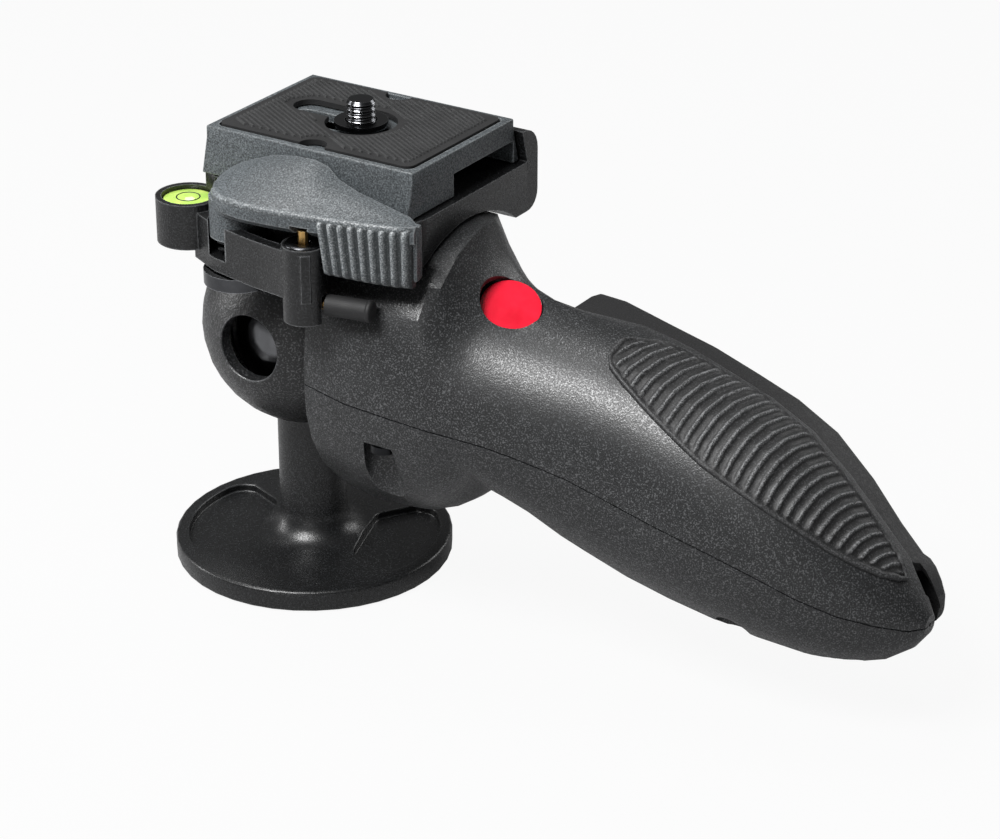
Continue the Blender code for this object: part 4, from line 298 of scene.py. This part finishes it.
def refined(node, bevel=0.0, segments=2, angle=SHARP_ANGLE):
    """A smooth shaded copy of the node's solid, with small round edges where bevel isn't zero."""
    mesh = NODES[node].data.copy()
    mesh.name = node + "_look"
    bm = bmesh.new()
    bm.from_mesh(mesh)
    bmesh.ops.remove_doubles(bm, verts=bm.verts, dist=WELD)
    bmesh.ops.dissolve_limit(bm, angle_limit=math.radians(0.4), verts=bm.verts, edges=bm.edges)
    for face in bm.faces:
        face.smooth = True
    for edge in bm.edges:
        edge.smooth = len(edge.link_faces) == 2 and edge.calc_face_angle(0.0) < angle
    bm.to_mesh(mesh)
    bm.free()
    obj = bpy.data.objects.new(node + "_look", mesh)
    if bevel > 0:
        rounding = obj.modifiers.new("round_edges", "BEVEL")
        rounding.limit_method = "ANGLE"
        rounding.angle_limit = angle
        rounding.width = bevel
        rounding.segments = segments
        rounding.use_clamp_overlap = True
        rounding.harden_normals = True
        rounding.miter_outer = "MITER_ARC"
    return obj


def make_refined_nodes():
    """Every node whose CAD shape is right gets smooth normals, round edges and its finish."""
    bevels = {
        "base_stem": 0.35, "ball_housing": 0.30, "platform": 0.30, "release_lever": 0.30,
        "release_plate": 0.35,
        "grip_upper_shell": 0.08, "grip_lower_shell": 0.08, "trigger": 0.12, "pin_sleeve": 0.2,
    }
    special = ("camera_screw", "plate_rubber", "level_vial", "badge", "grip_pad", "trigger")
    for node in sorted(NODES):
        if node not in special:
            # Shell screws and the lever spring take the near-black steel, painted shade in the screw pockets.
            finish = NEAR_BLACK_STEEL_SHADE if node.startswith("shell_screw") or node == "lever_spring" else None
            place(refined(node, bevels.get(node, 0.0) * MM), node, finish)


# Camera screw with a real helical thread
SCREW_PITCH = 1.27 * MM
SCREW_DEPTH = 0.62 * MM
SCREW_STEPS = 40
SCREW_ROWS_PER_TURN = 10


def grid_mesh(name, rows, crests=None):
    """A skin with filled ends over rows of points, each a closed loop, with crest values where given."""
    bm = bmesh.new()
    layer = bm.verts.layers.float.new("crest")
    skin = [[bm.verts.new(point) for point in row] for row in rows]
    count = len(skin[0])
    for low, high in zip(skin, skin[1:]):
        for n in range(count):
            face = bm.faces.new((low[n], low[(n + 1) % count], high[(n + 1) % count], high[n]))
            face.smooth = True
    for row, values in zip(skin, crests or []):
        for vert, value in zip(row, values):
            vert[layer] = value
    bm.faces.new(list(reversed(skin[0])))
    bm.faces.new(skin[-1])
    bmesh.ops.recalc_face_normals(bm, faces=bm.faces)
    mesh = bpy.data.meshes.new(name)
    bm.to_mesh(mesh)
    bm.free()
    return bpy.data.objects.new(name, mesh)


def thread_share(phase):
    """Height of a thread's flank, from 0 at the root to 1 at the crest, at a share of its pitch."""
    rise = abs((phase % 1.0) * 2 - 1)
    return min(max((rise - 0.18) / 0.64, 0.0), 1.0)


def make_camera_screw():
    low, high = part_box("camera_screw")
    _, flange_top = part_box("screw_flange")
    centre = (low + high) / 2
    radius = 3.15 * MM
    start = flange_top.z - 1.6 * MM
    top = high.z - 0.02 * MM
    turns = (top - start) / SCREW_PITCH
    count = int(turns * SCREW_ROWS_PER_TURN)
    rows = []
    for n in range(count + 1):
        z = start + (top - start) * n / count
        fade = min((top - z) / (1.1 * MM), 1.0)
        row = []
        for step in range(SCREW_STEPS):
            angle = 2 * math.pi * step / SCREW_STEPS
            crest = thread_share((z - start) / SCREW_PITCH - step / SCREW_STEPS)
            reach = radius - SCREW_DEPTH + SCREW_DEPTH * crest * min(max(fade, 0.0),
                                                                     1.0) - (1 - fade) * 0.25 * MM
            row.append((centre.x + reach * math.cos(angle), centre.y + reach * math.sin(angle), z))
        rows.append(row)
    add(grid_mesh("camera_screw_thread", rows), "camera_screw")
    place(refined("camera_screw", 0.0), "camera_screw")


# Corrugated rubber of the plate
RIB_PITCH = 1.1 * MM
RIB_HALF = 0.31 * MM
RIB_CROWN_HALF = 0.17 * MM
RIB_HEIGHT = 0.42 * MM
RIB_SLOPE = 0.2 * MM
RIB_TURN = math.radians(31)
RIB_BORDER = 1.3 * MM


def mesh_object(name, faces):
    """Boxes and strips given as lists of corner points, in one mesh."""
    bm = bmesh.new()
    for corners in faces:
        bm.faces.new([bm.verts.new(point) for point in corners])
    bmesh.ops.remove_doubles(bm, verts=bm.verts, dist=WELD)
    bmesh.ops.recalc_face_normals(bm, faces=bm.faces)
    mesh = bpy.data.meshes.new(name)
    bm.to_mesh(mesh)
    bm.free()
    return bpy.data.objects.new(name, mesh)


def top_outline(node, z):
    """Edges of the node's flat top at a height, as pairs of (x, y) points."""
    bm = bmesh.new()
    bm.from_mesh(NODES[node].data)
    bmesh.ops.remove_doubles(bm, verts=bm.verts, dist=WELD)
    tops = {face for face in bm.faces if all(abs(v.co.z - z) < 0.02 * MM for v in face.verts)}
    edges = [edge for edge in bm.edges if sum(face in tops for face in edge.link_faces) == 1]
    pairs = [((e.verts[0].co.x, e.verts[0].co.y), (e.verts[1].co.x, e.verts[1].co.y)) for e in edges]
    bm.free()
    return pairs


def crossings(pairs, y):
    """Places along X where a line at y enters and leaves the outline."""
    found = []
    for (x0, y0), (x1, y1) in pairs:
        if (y0 > y) != (y1 > y):
            found.append(x0 + (x1 - x0) * (y - y0) / (y1 - y0))
    return sorted(found)


def shared_spans(pairs, y, margin):
    """Spans along X that keep a margin to the outline on every side of a line at y."""
    lines = [crossings(pairs, y + shift) for shift in (-margin, 0.0, margin)]
    spans = list(zip(lines[1][::2], lines[1][1::2]))
    for line in (lines[0], lines[2]):
        others = list(zip(line[::2], line[1::2]))
        spans = [(max(a, c), min(b, d)) for a, b in spans for c, d in others if min(b, d) > max(a, c)]
    return [(a + margin, b - margin) for a, b in spans if b - a > 4 * margin]


def make_rubber():
    """The rubber sheet keeps its outline, and slanting ribs lie side by side on its top."""
    _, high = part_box("plate_rubber")
    base_z = high.z - RIB_HEIGHT
    turn = Matrix.Rotation(RIB_TURN, 2)
    back = Matrix.Rotation(-RIB_TURN, 2)
    pairs = [tuple(tuple(turn @ Vector(point)) for point in pair) for pair in top_outline("plate_rubber",
                                                                                          high.z)]
    start_y = min(point[1] for pair in pairs for point in pair)
    end_y = max(point[1] for pair in pairs for point in pair)
    faces = []
    for n in range(int((end_y - start_y) / RIB_PITCH)):
        y = start_y + (n + 0.5) * RIB_PITCH
        for start, end in shared_spans(pairs, y, RIB_BORDER):
            faces += rib_faces(start, end, y, base_z, back)
    sheet = lowered_copy("plate_rubber", high.z, RIB_HEIGHT)
    place(sheet, "plate_rubber")
    # The ribs get the lighter rubber: painted light.
    add(mesh_object("plate_rubber_ribs", faces), "plate_rubber", RIB_RUBBER_LIT)


def rib_faces(start, end, y, base_z, back):
    """One rib: a low ridge with sloping ends, drawn along X and turned back to its place."""
    top = base_z + RIB_HEIGHT - 0.01 * MM
    inner = (start + RIB_SLOPE, end - RIB_SLOPE)
    low = [(start, y - RIB_HALF), (end, y - RIB_HALF), (end, y + RIB_HALF), (start, y + RIB_HALF)]
    high = [(inner[0], y - RIB_CROWN_HALF), (inner[1], y - RIB_CROWN_HALF),
            (inner[1], y + RIB_CROWN_HALF), (inner[0], y + RIB_CROWN_HALF)]
    low = [(*(back @ Vector(point)), base_z - 0.05 * MM) for point in low]
    high = [(*(back @ Vector(point)), top) for point in high]
    sides = [(low[n], low[(n + 1) % 4], high[(n + 1) % 4], high[n]) for n in range(4)]
    return sides + [high, list(reversed(low))]


def lowered_copy(node, z, drop):
    """A refined copy whose top face lies lower by drop."""
    obj = refined(node, 0.0)
    for vert in obj.data.vertices:
        if abs(vert.co.z - z) < 0.02 * MM:
            vert.co.z -= drop
    return obj


# Level vial: fluid, bubble and one ring
def turned(name, profile, centre, steps=48):
    """A profile of (radius, height) points turned about a vertical axis through the centre."""
    rows = []
    for radius, height in profile:
        ring = [2 * math.pi * n / steps for n in range(steps)]
        rows.append([(centre.x + radius * math.cos(t), centre.y + radius * math.sin(t),
                      height) for t in ring])
    return grid_mesh(name, rows)


RING_STEPS = 40
WIRE_STEPS = 8


def torus(name, centre, radius, wire, squeeze=1.0):
    bm = bmesh.new()
    rows = []
    for n in range(RING_STEPS):
        t = 2 * math.pi * n / RING_STEPS
        row = []
        for m in range(WIRE_STEPS):
            u = 2 * math.pi * m / WIRE_STEPS
            reach = radius + wire * math.cos(u)
            row.append(bm.verts.new((centre.x + reach * math.cos(t), centre.y + reach * math.sin(t),
                                     centre.z + squeeze * wire * math.sin(u))))
        rows.append(row)
    for n in range(RING_STEPS):
        after = rows[(n + 1) % RING_STEPS]
        for m in range(WIRE_STEPS):
            beside = (m + 1) % WIRE_STEPS
            corners = (rows[n][m], after[m], after[beside], rows[n][beside])
            bm.faces.new(corners).smooth = True
    bmesh.ops.recalc_face_normals(bm, faces=bm.faces)
    mesh = bpy.data.meshes.new(name)
    bm.to_mesh(mesh)
    bm.free()
    return bpy.data.objects.new(name, mesh)


def make_vial():
    low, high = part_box("level_vial")
    centre = Vector(((low.x + high.x) / 2, (low.y + high.y) / 2, high.z))
    radius = (high.x - low.x) / 2
    dome = 0.45 * MM
    profile = [(0.05 * MM, low.z), (radius, low.z), (radius, high.z - dome)]
    profile += [(radius * math.cos(t), high.z - dome + dome * math.sin(t)) for t in
                [math.radians(angle) for angle in (15, 30, 45, 60, 75, 88)]]
    place(turned("level_vial_body", profile, centre), "level_vial")
    ring_place = Vector((centre.x, centre.y, high.z - 0.06 * MM))
    add(torus("level_vial_ring", ring_place, 0.46 * radius, 0.16 * MM, 0.8), "level_vial",
        FINISHES["trigger_plastic"])
    bubble_place = Vector((centre.x + 0.5 * MM, centre.y - 0.4 * MM, high.z))
    size = 0.36 * radius
    bubble = [(size * math.cos(t), high.z - 0.1 * MM + 0.1 * MM * math.sin(t)) for t in
              [math.radians(angle) for angle in (-60, -20, 10, 30, 50, 70, 88)]]
    add(turned("level_bubble", bubble, bubble_place), "level_vial", BUBBLE)


# Red badge and ribbed pad
PAD_SPANS = (
    # along the grip in mm from the stem, lower angle, upper angle, both in degrees about the grip's axis
    (80.9, 102.0, 98.5), (81.5, 107.0, 94.0), (83.0, 112.0, 90.0), (87.0, 116.5, 84.0), (92.6, 121.6, 79.0),
    (100.0, 127.5, 76.0), (108.0, 133.8, 74.0), (121.0, 139.7, 73.0), (130.0, 143.5, 72.5),
    (135.0, 146.6, 72.0), (140.0, 148.5, 73.0), (144.0, 148.0, 77.0), (146.4, 140.0, 88.0), (147.5, 117.0,
                                                                                             110.0),
)
PAD_EDGE = 1.5 * MM
PAD_FADE = 0.8 * MM
PAD_PITCH = 2.54 * MM
PAD_BOW = 0.5 * MM
PAD_SLANT = 2.3 * MM
PAD_SHARPNESS = 3
PAD_FLOOR = 0.25 * MM
PAD_RIDGE = 0.60 * MM
PAD_SINK = 0.5 * MM
PAD_STEPS = 260
PAD_COLUMNS = 40
PAD_SMOOTHINGS = 6
AXIS_HEIGHT = 57.0 * MM
AXIS_FALL = math.tan(math.radians(9.5))
RAY_LENGTH = 60 * MM


def make_badge():
    obj = refined("badge", 0.18 * MM, 3)
    place(obj, "badge")


def ridged(name, valley, speck, crest_dark, crest_light, roughness, depth):
    """A textured finish whose ridge tops, marked by the crest attribute, are painted light: a painted
    highlight over the dark valleys.
    """
    tree = Tree(name)
    crest = tree.node("ShaderNodeAttribute", attribute_name="crest").outputs["Fac"]
    fine = tree.noise(0.32 * MM, 1.0, 0.5)
    slow = tree.noise(7 * MM, 2.0, 0.5)
    base = tree.blend(tree.spread(slow, 0.35, 0.65), [channel * 0.7 for channel in valley], valley)
    base = tree.blend(tree.spread(fine, 0.54, 0.70, 0.0, 0.5), base, speck)
    # Light ridge tops: a painted highlight.
    crest_highlight = tree.blend(tree.spread(fine, 0.40, 0.62), crest_dark, crest_light)
    base = tree.blend(tree.spread(crest, 0.25, 0.95), base, crest_highlight)
    rough = tree.spread(slow, 0.3, 0.7, roughness - 0.05, roughness + 0.07)
    return tree.finish(base, rough, tree.bump(fine, depth))


def skin_tree():
    """Search tree over both grip shells."""
    bm = bmesh.new()
    for node in ("grip_upper_shell", "grip_lower_shell"):
        bm.from_mesh(NODES[node].data)
    tree = BVHTree.FromBMesh(bm)
    bm.free()
    return tree


def pad_span(x):
    """Lower and upper angle of the pad at x, in radians."""
    for (x0, low0, high0), (x1, low1, high1) in zip(PAD_SPANS, PAD_SPANS[1:]):
        if x <= x1 * MM:
            share = (x / MM - x0) / (x1 - x0)
            return math.radians(low0 + (low1 - low0) * share), math.radians(high0 + (high1 - high0) * share)
    return math.radians(PAD_SPANS[-1][1]), math.radians(PAD_SPANS[-1][2])


def skin_point(tree, x, angle):
    """Point and normal of the grip's skin at an angle about its axis."""
    axis = Vector((x, 0, AXIS_HEIGHT - x * AXIS_FALL)) + STEM_SHIFT
    spoke = Vector((0, math.cos(angle), math.sin(angle)))
    hit, normal, _, _ = tree.ray_cast(axis + spoke * RAY_LENGTH, -spoke)
    return hit, normal


def pad_ridge(along, across, edge):
    """Height of the rubber's top over its floor: a raised rim and thin cross ridges inside it."""
    if edge < PAD_EDGE:
        return math.sin(math.pi * max(edge, 0.0) / PAD_EDGE) ** 0.6
    phase = (along + PAD_BOW * (1 - across * across) + PAD_SLANT * (1 - across)) / PAD_PITCH
    ridge = 0.5 + 0.5 * math.cos(2 * math.pi * phase)
    return min((edge - PAD_EDGE) / PAD_FADE, 1.0) * ridge ** PAD_SHARPNESS


def pad_places(tree):
    """Rows of (point, normal) on the skin, from the pad's upper end to its lower end."""
    start, end = PAD_SPANS[0][0] * MM, PAD_SPANS[-1][0] * MM
    rows = []
    for step in range(PAD_STEPS + 1):
        eased = 0.5 - 0.5 * math.cos(math.pi * step / PAD_STEPS)
        x = start + (end - start) * (0.4 * eased + 0.6 * step / PAD_STEPS)
        low, high = pad_span(x)
        row = []
        for column in range(PAD_COLUMNS + 1):
            row.append(skin_point(tree, x, low + (high - low) * column / PAD_COLUMNS))
        rows.append(row)
    return rows


def smoothed(rows):
    """Evens out the facets of the skin below the pad."""
    for _ in range(PAD_SMOOTHINGS):
        new = []
        for n, row in enumerate(rows):
            before, after = rows[max(n - 2, 0)], rows[min(n + 2, len(rows) - 1)]
            line = []
            for m, (hit, normal) in enumerate(row):
                near = (before[m], after[m], row[max(m - 1, 0)], row[min(m + 1, len(row) - 1)])
                turned_normal = (normal * 2 + near[0][1] + near[1][1] + near[2][1] + near[3][1]).normalized()
                line.append((hit, turned_normal))
            new.append(line)
        rows = new
    return rows


def make_pad():
    """The ribbed rubber patch, laid on the skin of the grip."""
    places = smoothed(pad_places(skin_tree()))
    bm = bmesh.new()
    layer = bm.verts.layers.float.new("crest")
    rows = []
    travel = 0.0
    middle = PAD_COLUMNS // 2
    length = sum((a[middle][0] - b[middle][0]).length for a, b in zip(places, places[1:]))
    for n, place_row in enumerate(places):
        if n:
            travel += (place_row[middle][0] - places[n - 1][middle][0]).length
        width = sum((a[0] - b[0]).length for a, b in zip(place_row, place_row[1:]))
        row = []
        for column, (hit, normal) in enumerate(place_row):
            across = 2 * column / PAD_COLUMNS - 1
            edge = min(travel, length - travel, (1 - abs(across)) * width / 2)
            ridge = pad_ridge(travel, across, edge)
            outside = n in (0, PAD_STEPS) or column in (0, PAD_COLUMNS)
            vert = bm.verts.new(hit + normal * (-0.2 * MM if outside else PAD_FLOOR + PAD_RIDGE * ridge))
            # The crest value sets the painted highlight on the ridge tops, at 0.45 on the rim.
            vert[layer] = 0.0 if outside else ridge * (0.45 if edge < PAD_EDGE else 1.0)
            row.append((vert, hit, normal))
        rows.append(row)
    close_pad(bm, rows)
    bmesh.ops.recalc_face_normals(bm, faces=bm.faces)
    mesh = bpy.data.meshes.new("grip_pad_look")
    bm.to_mesh(mesh)
    bm.free()
    place(bpy.data.objects.new("grip_pad_look", mesh), "grip_pad", PAD_RUBBER)


def close_pad(bm, rows):
    """Fills the top skin, an inner skin below it and the rim between the two."""
    under = []
    for row in rows:
        under.append([bm.verts.new(hit - normal * PAD_SINK) for _, hit, normal in row])
    tops = [[vert for vert, _, _ in row] for row in rows]
    for skin in (tops, under):
        for first, second in zip(skin, skin[1:]):
            for n in range(len(first) - 1):
                bm.faces.new((first[n], first[n + 1], second[n + 1], second[n])).smooth = True
    loop = outer_loop(tops)
    below = outer_loop(under)
    for n in range(len(loop)):
        after = (n + 1) % len(loop)
        bm.faces.new((loop[n], loop[after], below[after], below[n]))


def outer_loop(grid):
    """The points round a grid, in order."""
    loop = list(grid[0])
    loop += [row[-1] for row in grid[1:-1]]
    loop += list(reversed(grid[-1]))
    loop += [row[0] for row in reversed(grid[1:-1])]
    return loop


TRIGGER_SOFT_LENGTH = 8 * MM
TRIGGER_SOFT_DROP = 1.8 * MM
TRIGGER_END_LENGTH = 16 * MM
TRIGGER_END_SHIFT = (2.0 * MM, 1.0 * MM, 0.0)


def make_trigger():
    """The trigger, with its upper start lowered and its end drawn out a little."""
    obj = refined("trigger", 0.12 * MM)
    low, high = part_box("trigger")
    for vert in obj.data.vertices:
        start = min(max(1 - (vert.co.x - low.x) / TRIGGER_SOFT_LENGTH, 0.0), 1.0)
        axis_z = AXIS_HEIGHT - (vert.co.x - STEM_SHIFT.x) * AXIS_FALL
        if vert.co.z > axis_z + TRIGGER_SOFT_LENGTH:
            vert.co.z -= TRIGGER_SOFT_DROP * start * start
        end = min(max((vert.co.x - high.x) / TRIGGER_END_LENGTH + 1, 0.0), 1.0)
        vert.co += Vector(TRIGGER_END_SHIFT) * end * end
    place(obj, "trigger")


# Ridged finishes whose light ridge tops are a painted highlight.
PAD_RUBBER = ridged("ridged_rubber", (0.0035, 0.0035, 0.0038), (0.07, 0.072, 0.075), (0.016, 0.0165, 0.017),
                    (0.155, 0.158, 0.162), 0.58, 0.05 * MM)
TAB_PAINT = ridged("ridged_grey_paint", (0.017, 0.021, 0.023), (0.13, 0.14, 0.145), (0.075, 0.084, 0.09),
                   (0.25, 0.265, 0.27), 0.50, 0.06 * MM)


# Lever: a lighter bead along its edge, a painted highlight, and the ribbed thumb tab
LEVER_EDGE = (
    (-0.0031, -0.0282), (-0.0018, -0.0303), (0.0002, -0.0322), (0.0035, -0.0337), (0.0080, -0.0342),
    (0.0130, -0.0340), (0.0180, -0.0334), (0.0215, -0.0328), (0.0245, -0.0323), (0.0300, -0.0313),
    (0.0370, -0.0298), (0.0430, -0.0280), (0.0462, -0.0262),
)
LEVER_EDGE_Z = 97.2 * MM
LEVER_RIM_RADIUS = 0.85 * MM
TAB_CORNER = (29.0 * MM, -26.2 * MM)
TAB_TURN = math.radians(14)
TAB_FACE = 3.6 * MM
TAB_REACH = (-4.2 * MM, 16.3 * MM)
TAB_LOW_Z = (84.8 * MM, 83.9 * MM)
TAB_HIGH_Z = 96.6 * MM
TAB_SLANT = 1.7 * MM
TAB_WAVES = 9
TAB_WAVE_HEIGHT = 0.80 * MM
TAB_WAVE_STEPS = 8


def near_edge(x):
    """The lever's near edge at x, in the stem's frame."""
    for (x0, y0), (x1, y1) in zip(LEVER_EDGE, LEVER_EDGE[1:]):
        if x <= x1:
            return y0 + (y1 - y0) * (x - x0) / (x1 - x0)
    return LEVER_EDGE[-1][1]


def make_lever_rim():
    """A bead that rounds the lever's near edge, in a lighter grey: a painted highlight."""
    inset = LEVER_RIM_RADIUS - 0.12 * MM
    path = [Vector((x, y, 0)) for x, y in LEVER_EDGE]
    rows = []
    for n, point in enumerate(path):
        ahead = (path[min(n + 1, len(path) - 1)] - path[max(n - 1, 0)]).normalized()
        side = Vector((-ahead.y, ahead.x, 0))
        centre = point + STEM_SHIFT + side * inset + Vector((0, 0, LEVER_EDGE_Z - inset))
        swell = 0.35 if n in (0, len(path) - 1) else 1.0
        row = []
        for step in range(12):
            turn = 2 * math.pi * step / 12
            row.append(centre + swell * LEVER_RIM_RADIUS * (side * math.cos(turn) + Vector((0, 0,
                                                                                            math.sin(turn)))))
        rows.append(row)
    add(grid_mesh("lever_rim", rows), "release_lever", LEVER_RIM_HIGHLIGHT_GREY)


def tab_point(along, depth, z):
    """A point of the tab: along its face, forward of its plane and at a height."""
    cos, sin = math.cos(TAB_TURN), math.sin(TAB_TURN)
    x = TAB_CORNER[0] + along * cos + TAB_FACE * sin
    y = min(TAB_CORNER[1] + along * sin - TAB_FACE * cos, near_edge(x))
    return Vector((x, y - depth, z)) + STEM_SHIFT


def tab_row(step, steps):
    """One loop round the ribbed face at a step along it: up its front and down its back."""
    share = step / steps
    wave = 0.5 - 0.5 * math.cos(2 * math.pi * TAB_WAVES * share)
    low = TAB_LOW_Z[0] + (TAB_LOW_Z[1] - TAB_LOW_Z[0]) * share
    heights = [0.0, 0.03, 0.08, 0.2, 0.4, 0.6, 0.8, 0.92, 0.97, 1.0]
    front, back, crests = [], [], []
    for height in heights:
        z = low + (TAB_HIGH_Z - low) * height
        start = TAB_REACH[0] + TAB_SLANT * (1 - height)
        along = start + (TAB_REACH[1] - start) * share
        end_fade = min(height / 0.08, (1 - height) / 0.08, share / 0.03, (1 - share) / 0.03, 1.0)
        fade = max(end_fade, 0.0)
        depth = -0.30 * MM + 0.35 * MM * math.sqrt(fade) + TAB_WAVE_HEIGHT * wave * fade
        front.append(tab_point(along, depth, z))
        back.append(tab_point(along, -1.6 * MM, z))
        # The wave also sets the painted highlight on the rib tops.
        crests.append(wave)
    return front + back[::-1], crests + crests[::-1]


def make_tab_ribs():
    steps = TAB_WAVES * TAB_WAVE_STEPS
    loops = [tab_row(step, steps) for step in range(steps + 1)]
    mesh = grid_mesh("lever_thumb_ribs", [row for row, _ in loops], [crests for _, crests in loops])
    add(mesh, "release_lever", TAB_PAINT)


# Boss and sleeve of the safety pin
SLEEVE_TURN = math.radians(12)
SLEEVE_END = 15.0 * MM
BOSS_PLACE = (22.5 * MM, -31.5 * MM)
BOSS_TOP_Z = 90.5 * MM


def make_boss_cap():
    centre = Vector((*BOSS_PLACE, BOSS_TOP_Z)) + STEM_SHIFT
    add(torus("boss_cap", centre, 2.75 * MM, 1.35 * MM, 0.32), "lever_pivot")


def make_sleeve_end():
    """A closed, rounded end on the sleeve of the safety pin."""
    low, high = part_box("pin_sleeve")
    radius = (high.z - low.z) / 2
    turn = Matrix.Rotation(SLEEVE_TURN, 3, "Z")
    base = Vector((*BOSS_PLACE, (low.z + high.z) / 2)) + STEM_SHIFT
    rows = []
    for along, share in ((-0.9, 1.02), (-0.25, 1.02), (0.05, 0.92), (0.22, 0.70), (0.26, 0.02)):
        row = []
        for step in range(24):
            angle = 2 * math.pi * step / 24
            spoke = Vector((SLEEVE_END + along * MM, radius * share * math.cos(angle),
                            radius * share * math.sin(angle)))
            row.append(base + turn @ spoke)
        rows.append(row)
    add(grid_mesh("pin_sleeve_end", rows), "pin_sleeve")


# Stage, light and camera
FLOOR_HALF = 1.6
FLOOR_COLOUR = (0.34, 0.34, 0.345, 1.0)
FLOOR_CAMERA_SHARE = 0.93
FLOOR_GLOSSY_SHARE = 0.12
WORLD_FILL = 0.04
WORLD_GLOSSY = 0.12


def ray_share(tree, camera, glossy):
    """A number: camera for camera rays, glossy for reflections and glass, and 0 for all others."""
    path = tree.nodes.new("ShaderNodeLightPath")
    parts = []
    for socket, value in (("Is Camera Ray", camera), ("Is Glossy Ray", glossy),
                          ("Is Transmission Ray", glossy)):
        part = tree.nodes.new("ShaderNodeMath")
        part.operation = "MULTIPLY"
        part.inputs[1].default_value = value
        tree.links.new(path.outputs[socket], part.inputs[0])
        parts.append(part.outputs[0])
    total = parts[0]
    for part in parts[1:]:
        larger = tree.nodes.new("ShaderNodeMath")
        larger.operation = "MAXIMUM"
        tree.links.new(total, larger.inputs[0])
        tree.links.new(part, larger.inputs[1])
        total = larger.outputs[0]
    return total


def pale_floor():
    """Plain floor: nearly white for the camera, darker in reflections, and it keeps the shadow."""
    material = bpy.data.materials.new("pale_floor")
    material.use_nodes = True
    tree = material.node_tree
    shader = tree.nodes["Principled BSDF"]
    shader.inputs["Base Color"].default_value = FLOOR_COLOUR
    shader.inputs["Roughness"].default_value = 0.9
    glow = tree.nodes.new("ShaderNodeEmission")
    glow.inputs["Color"].default_value = (1, 1, 1, 1)
    glow.inputs["Strength"].default_value = 1.0
    mix = tree.nodes.new("ShaderNodeMixShader")
    tree.links.new(ray_share(tree, FLOOR_CAMERA_SHARE, FLOOR_GLOSSY_SHARE), mix.inputs[0])
    tree.links.new(shader.outputs[0], mix.inputs[1])
    tree.links.new(glow.outputs[0], mix.inputs[2])
    tree.links.new(mix.outputs[0], tree.nodes["Material Output"].inputs["Surface"])
    return material


def make_floor():
    mesh = bpy.data.meshes.new("floor")
    corners = [(-FLOOR_HALF, -FLOOR_HALF, 0), (FLOOR_HALF, -FLOOR_HALF, 0), (FLOOR_HALF, FLOOR_HALF, 0),
               (-FLOOR_HALF, FLOOR_HALF, 0)]
    mesh.from_pydata(corners, [], [(0, 1, 2, 3)])
    floor = bpy.data.objects.new("floor", mesh)
    floor.location.z = -0.0002
    mesh.materials.append(pale_floor())
    bpy.context.scene.collection.objects.link(floor)


def area_lamp(name, place_at, target, width, height, power):
    data = bpy.data.lights.new(name, "AREA")
    data.shape = "RECTANGLE"
    data.size = width
    data.size_y = height
    data.energy = power
    lamp = bpy.data.objects.new(name, data)
    lamp.location = place_at
    lamp.rotation_euler = (Vector(target) - Vector(place_at)).to_track_quat("-Z", "Y").to_euler()
    bpy.context.scene.collection.objects.link(lamp)


def make_light():
    middle = (0.0, 0.0, 0.06)
    area_lamp("top_lamp", (-0.10, -0.46, 0.72), middle, 0.40, 0.30, 11.0)
    area_lamp("plate_lamp", (-0.30, 0.10, 0.80), middle, 0.30, 0.30, 3.0)
    area_lamp("left_lamp", (-0.80, -0.30, 0.30), middle, 0.18, 0.5, 2.6)
    area_lamp("front_lamp", (0.25, -0.95, 0.22), middle, 0.5, 0.25, 0.6)
    area_lamp("back_lamp", (0.35, 0.90, 0.50), middle, 0.6, 0.3, 2.5)
    world = bpy.data.worlds.new("studio")
    bpy.context.scene.world = world
    world.use_nodes = True
    tree = world.node_tree
    background = tree.nodes["Background"]
    background.inputs["Color"].default_value = (1, 1, 1, 1)
    share = ray_share(tree, 1.0, WORLD_GLOSSY)
    strength = tree.nodes.new("ShaderNodeMath")
    strength.operation = "MAXIMUM"
    strength.inputs[1].default_value = WORLD_FILL
    tree.links.new(share, strength.inputs[0])
    tree.links.new(strength.outputs[0], background.inputs["Strength"])


def make_camera():
    data = bpy.data.cameras.new("photo_camera")
    data.lens = CAMERA_LENS
    data.sensor_width = CAMERA_SENSOR
    data.clip_start = 0.01
    camera = bpy.data.objects.new("photo_camera", data)
    turn = Matrix((CAMERA_RIGHT, CAMERA_UP, CAMERA_BACK)).transposed()
    camera.matrix_world = Matrix.Translation(CAMERA_PLACE) @ turn.to_4x4()
    bpy.context.scene.collection.objects.link(camera)
    bpy.context.scene.camera = camera


make_refined_nodes()
make_camera_screw()
make_rubber()
make_vial()
make_badge()
make_pad()
make_trigger()
make_lever_rim()
make_tab_ribs()
make_boss_cap()
make_sleeve_end()
make_floor()
make_light()
make_camera()
bpy.context.scene.view_settings.view_transform = "Standard"
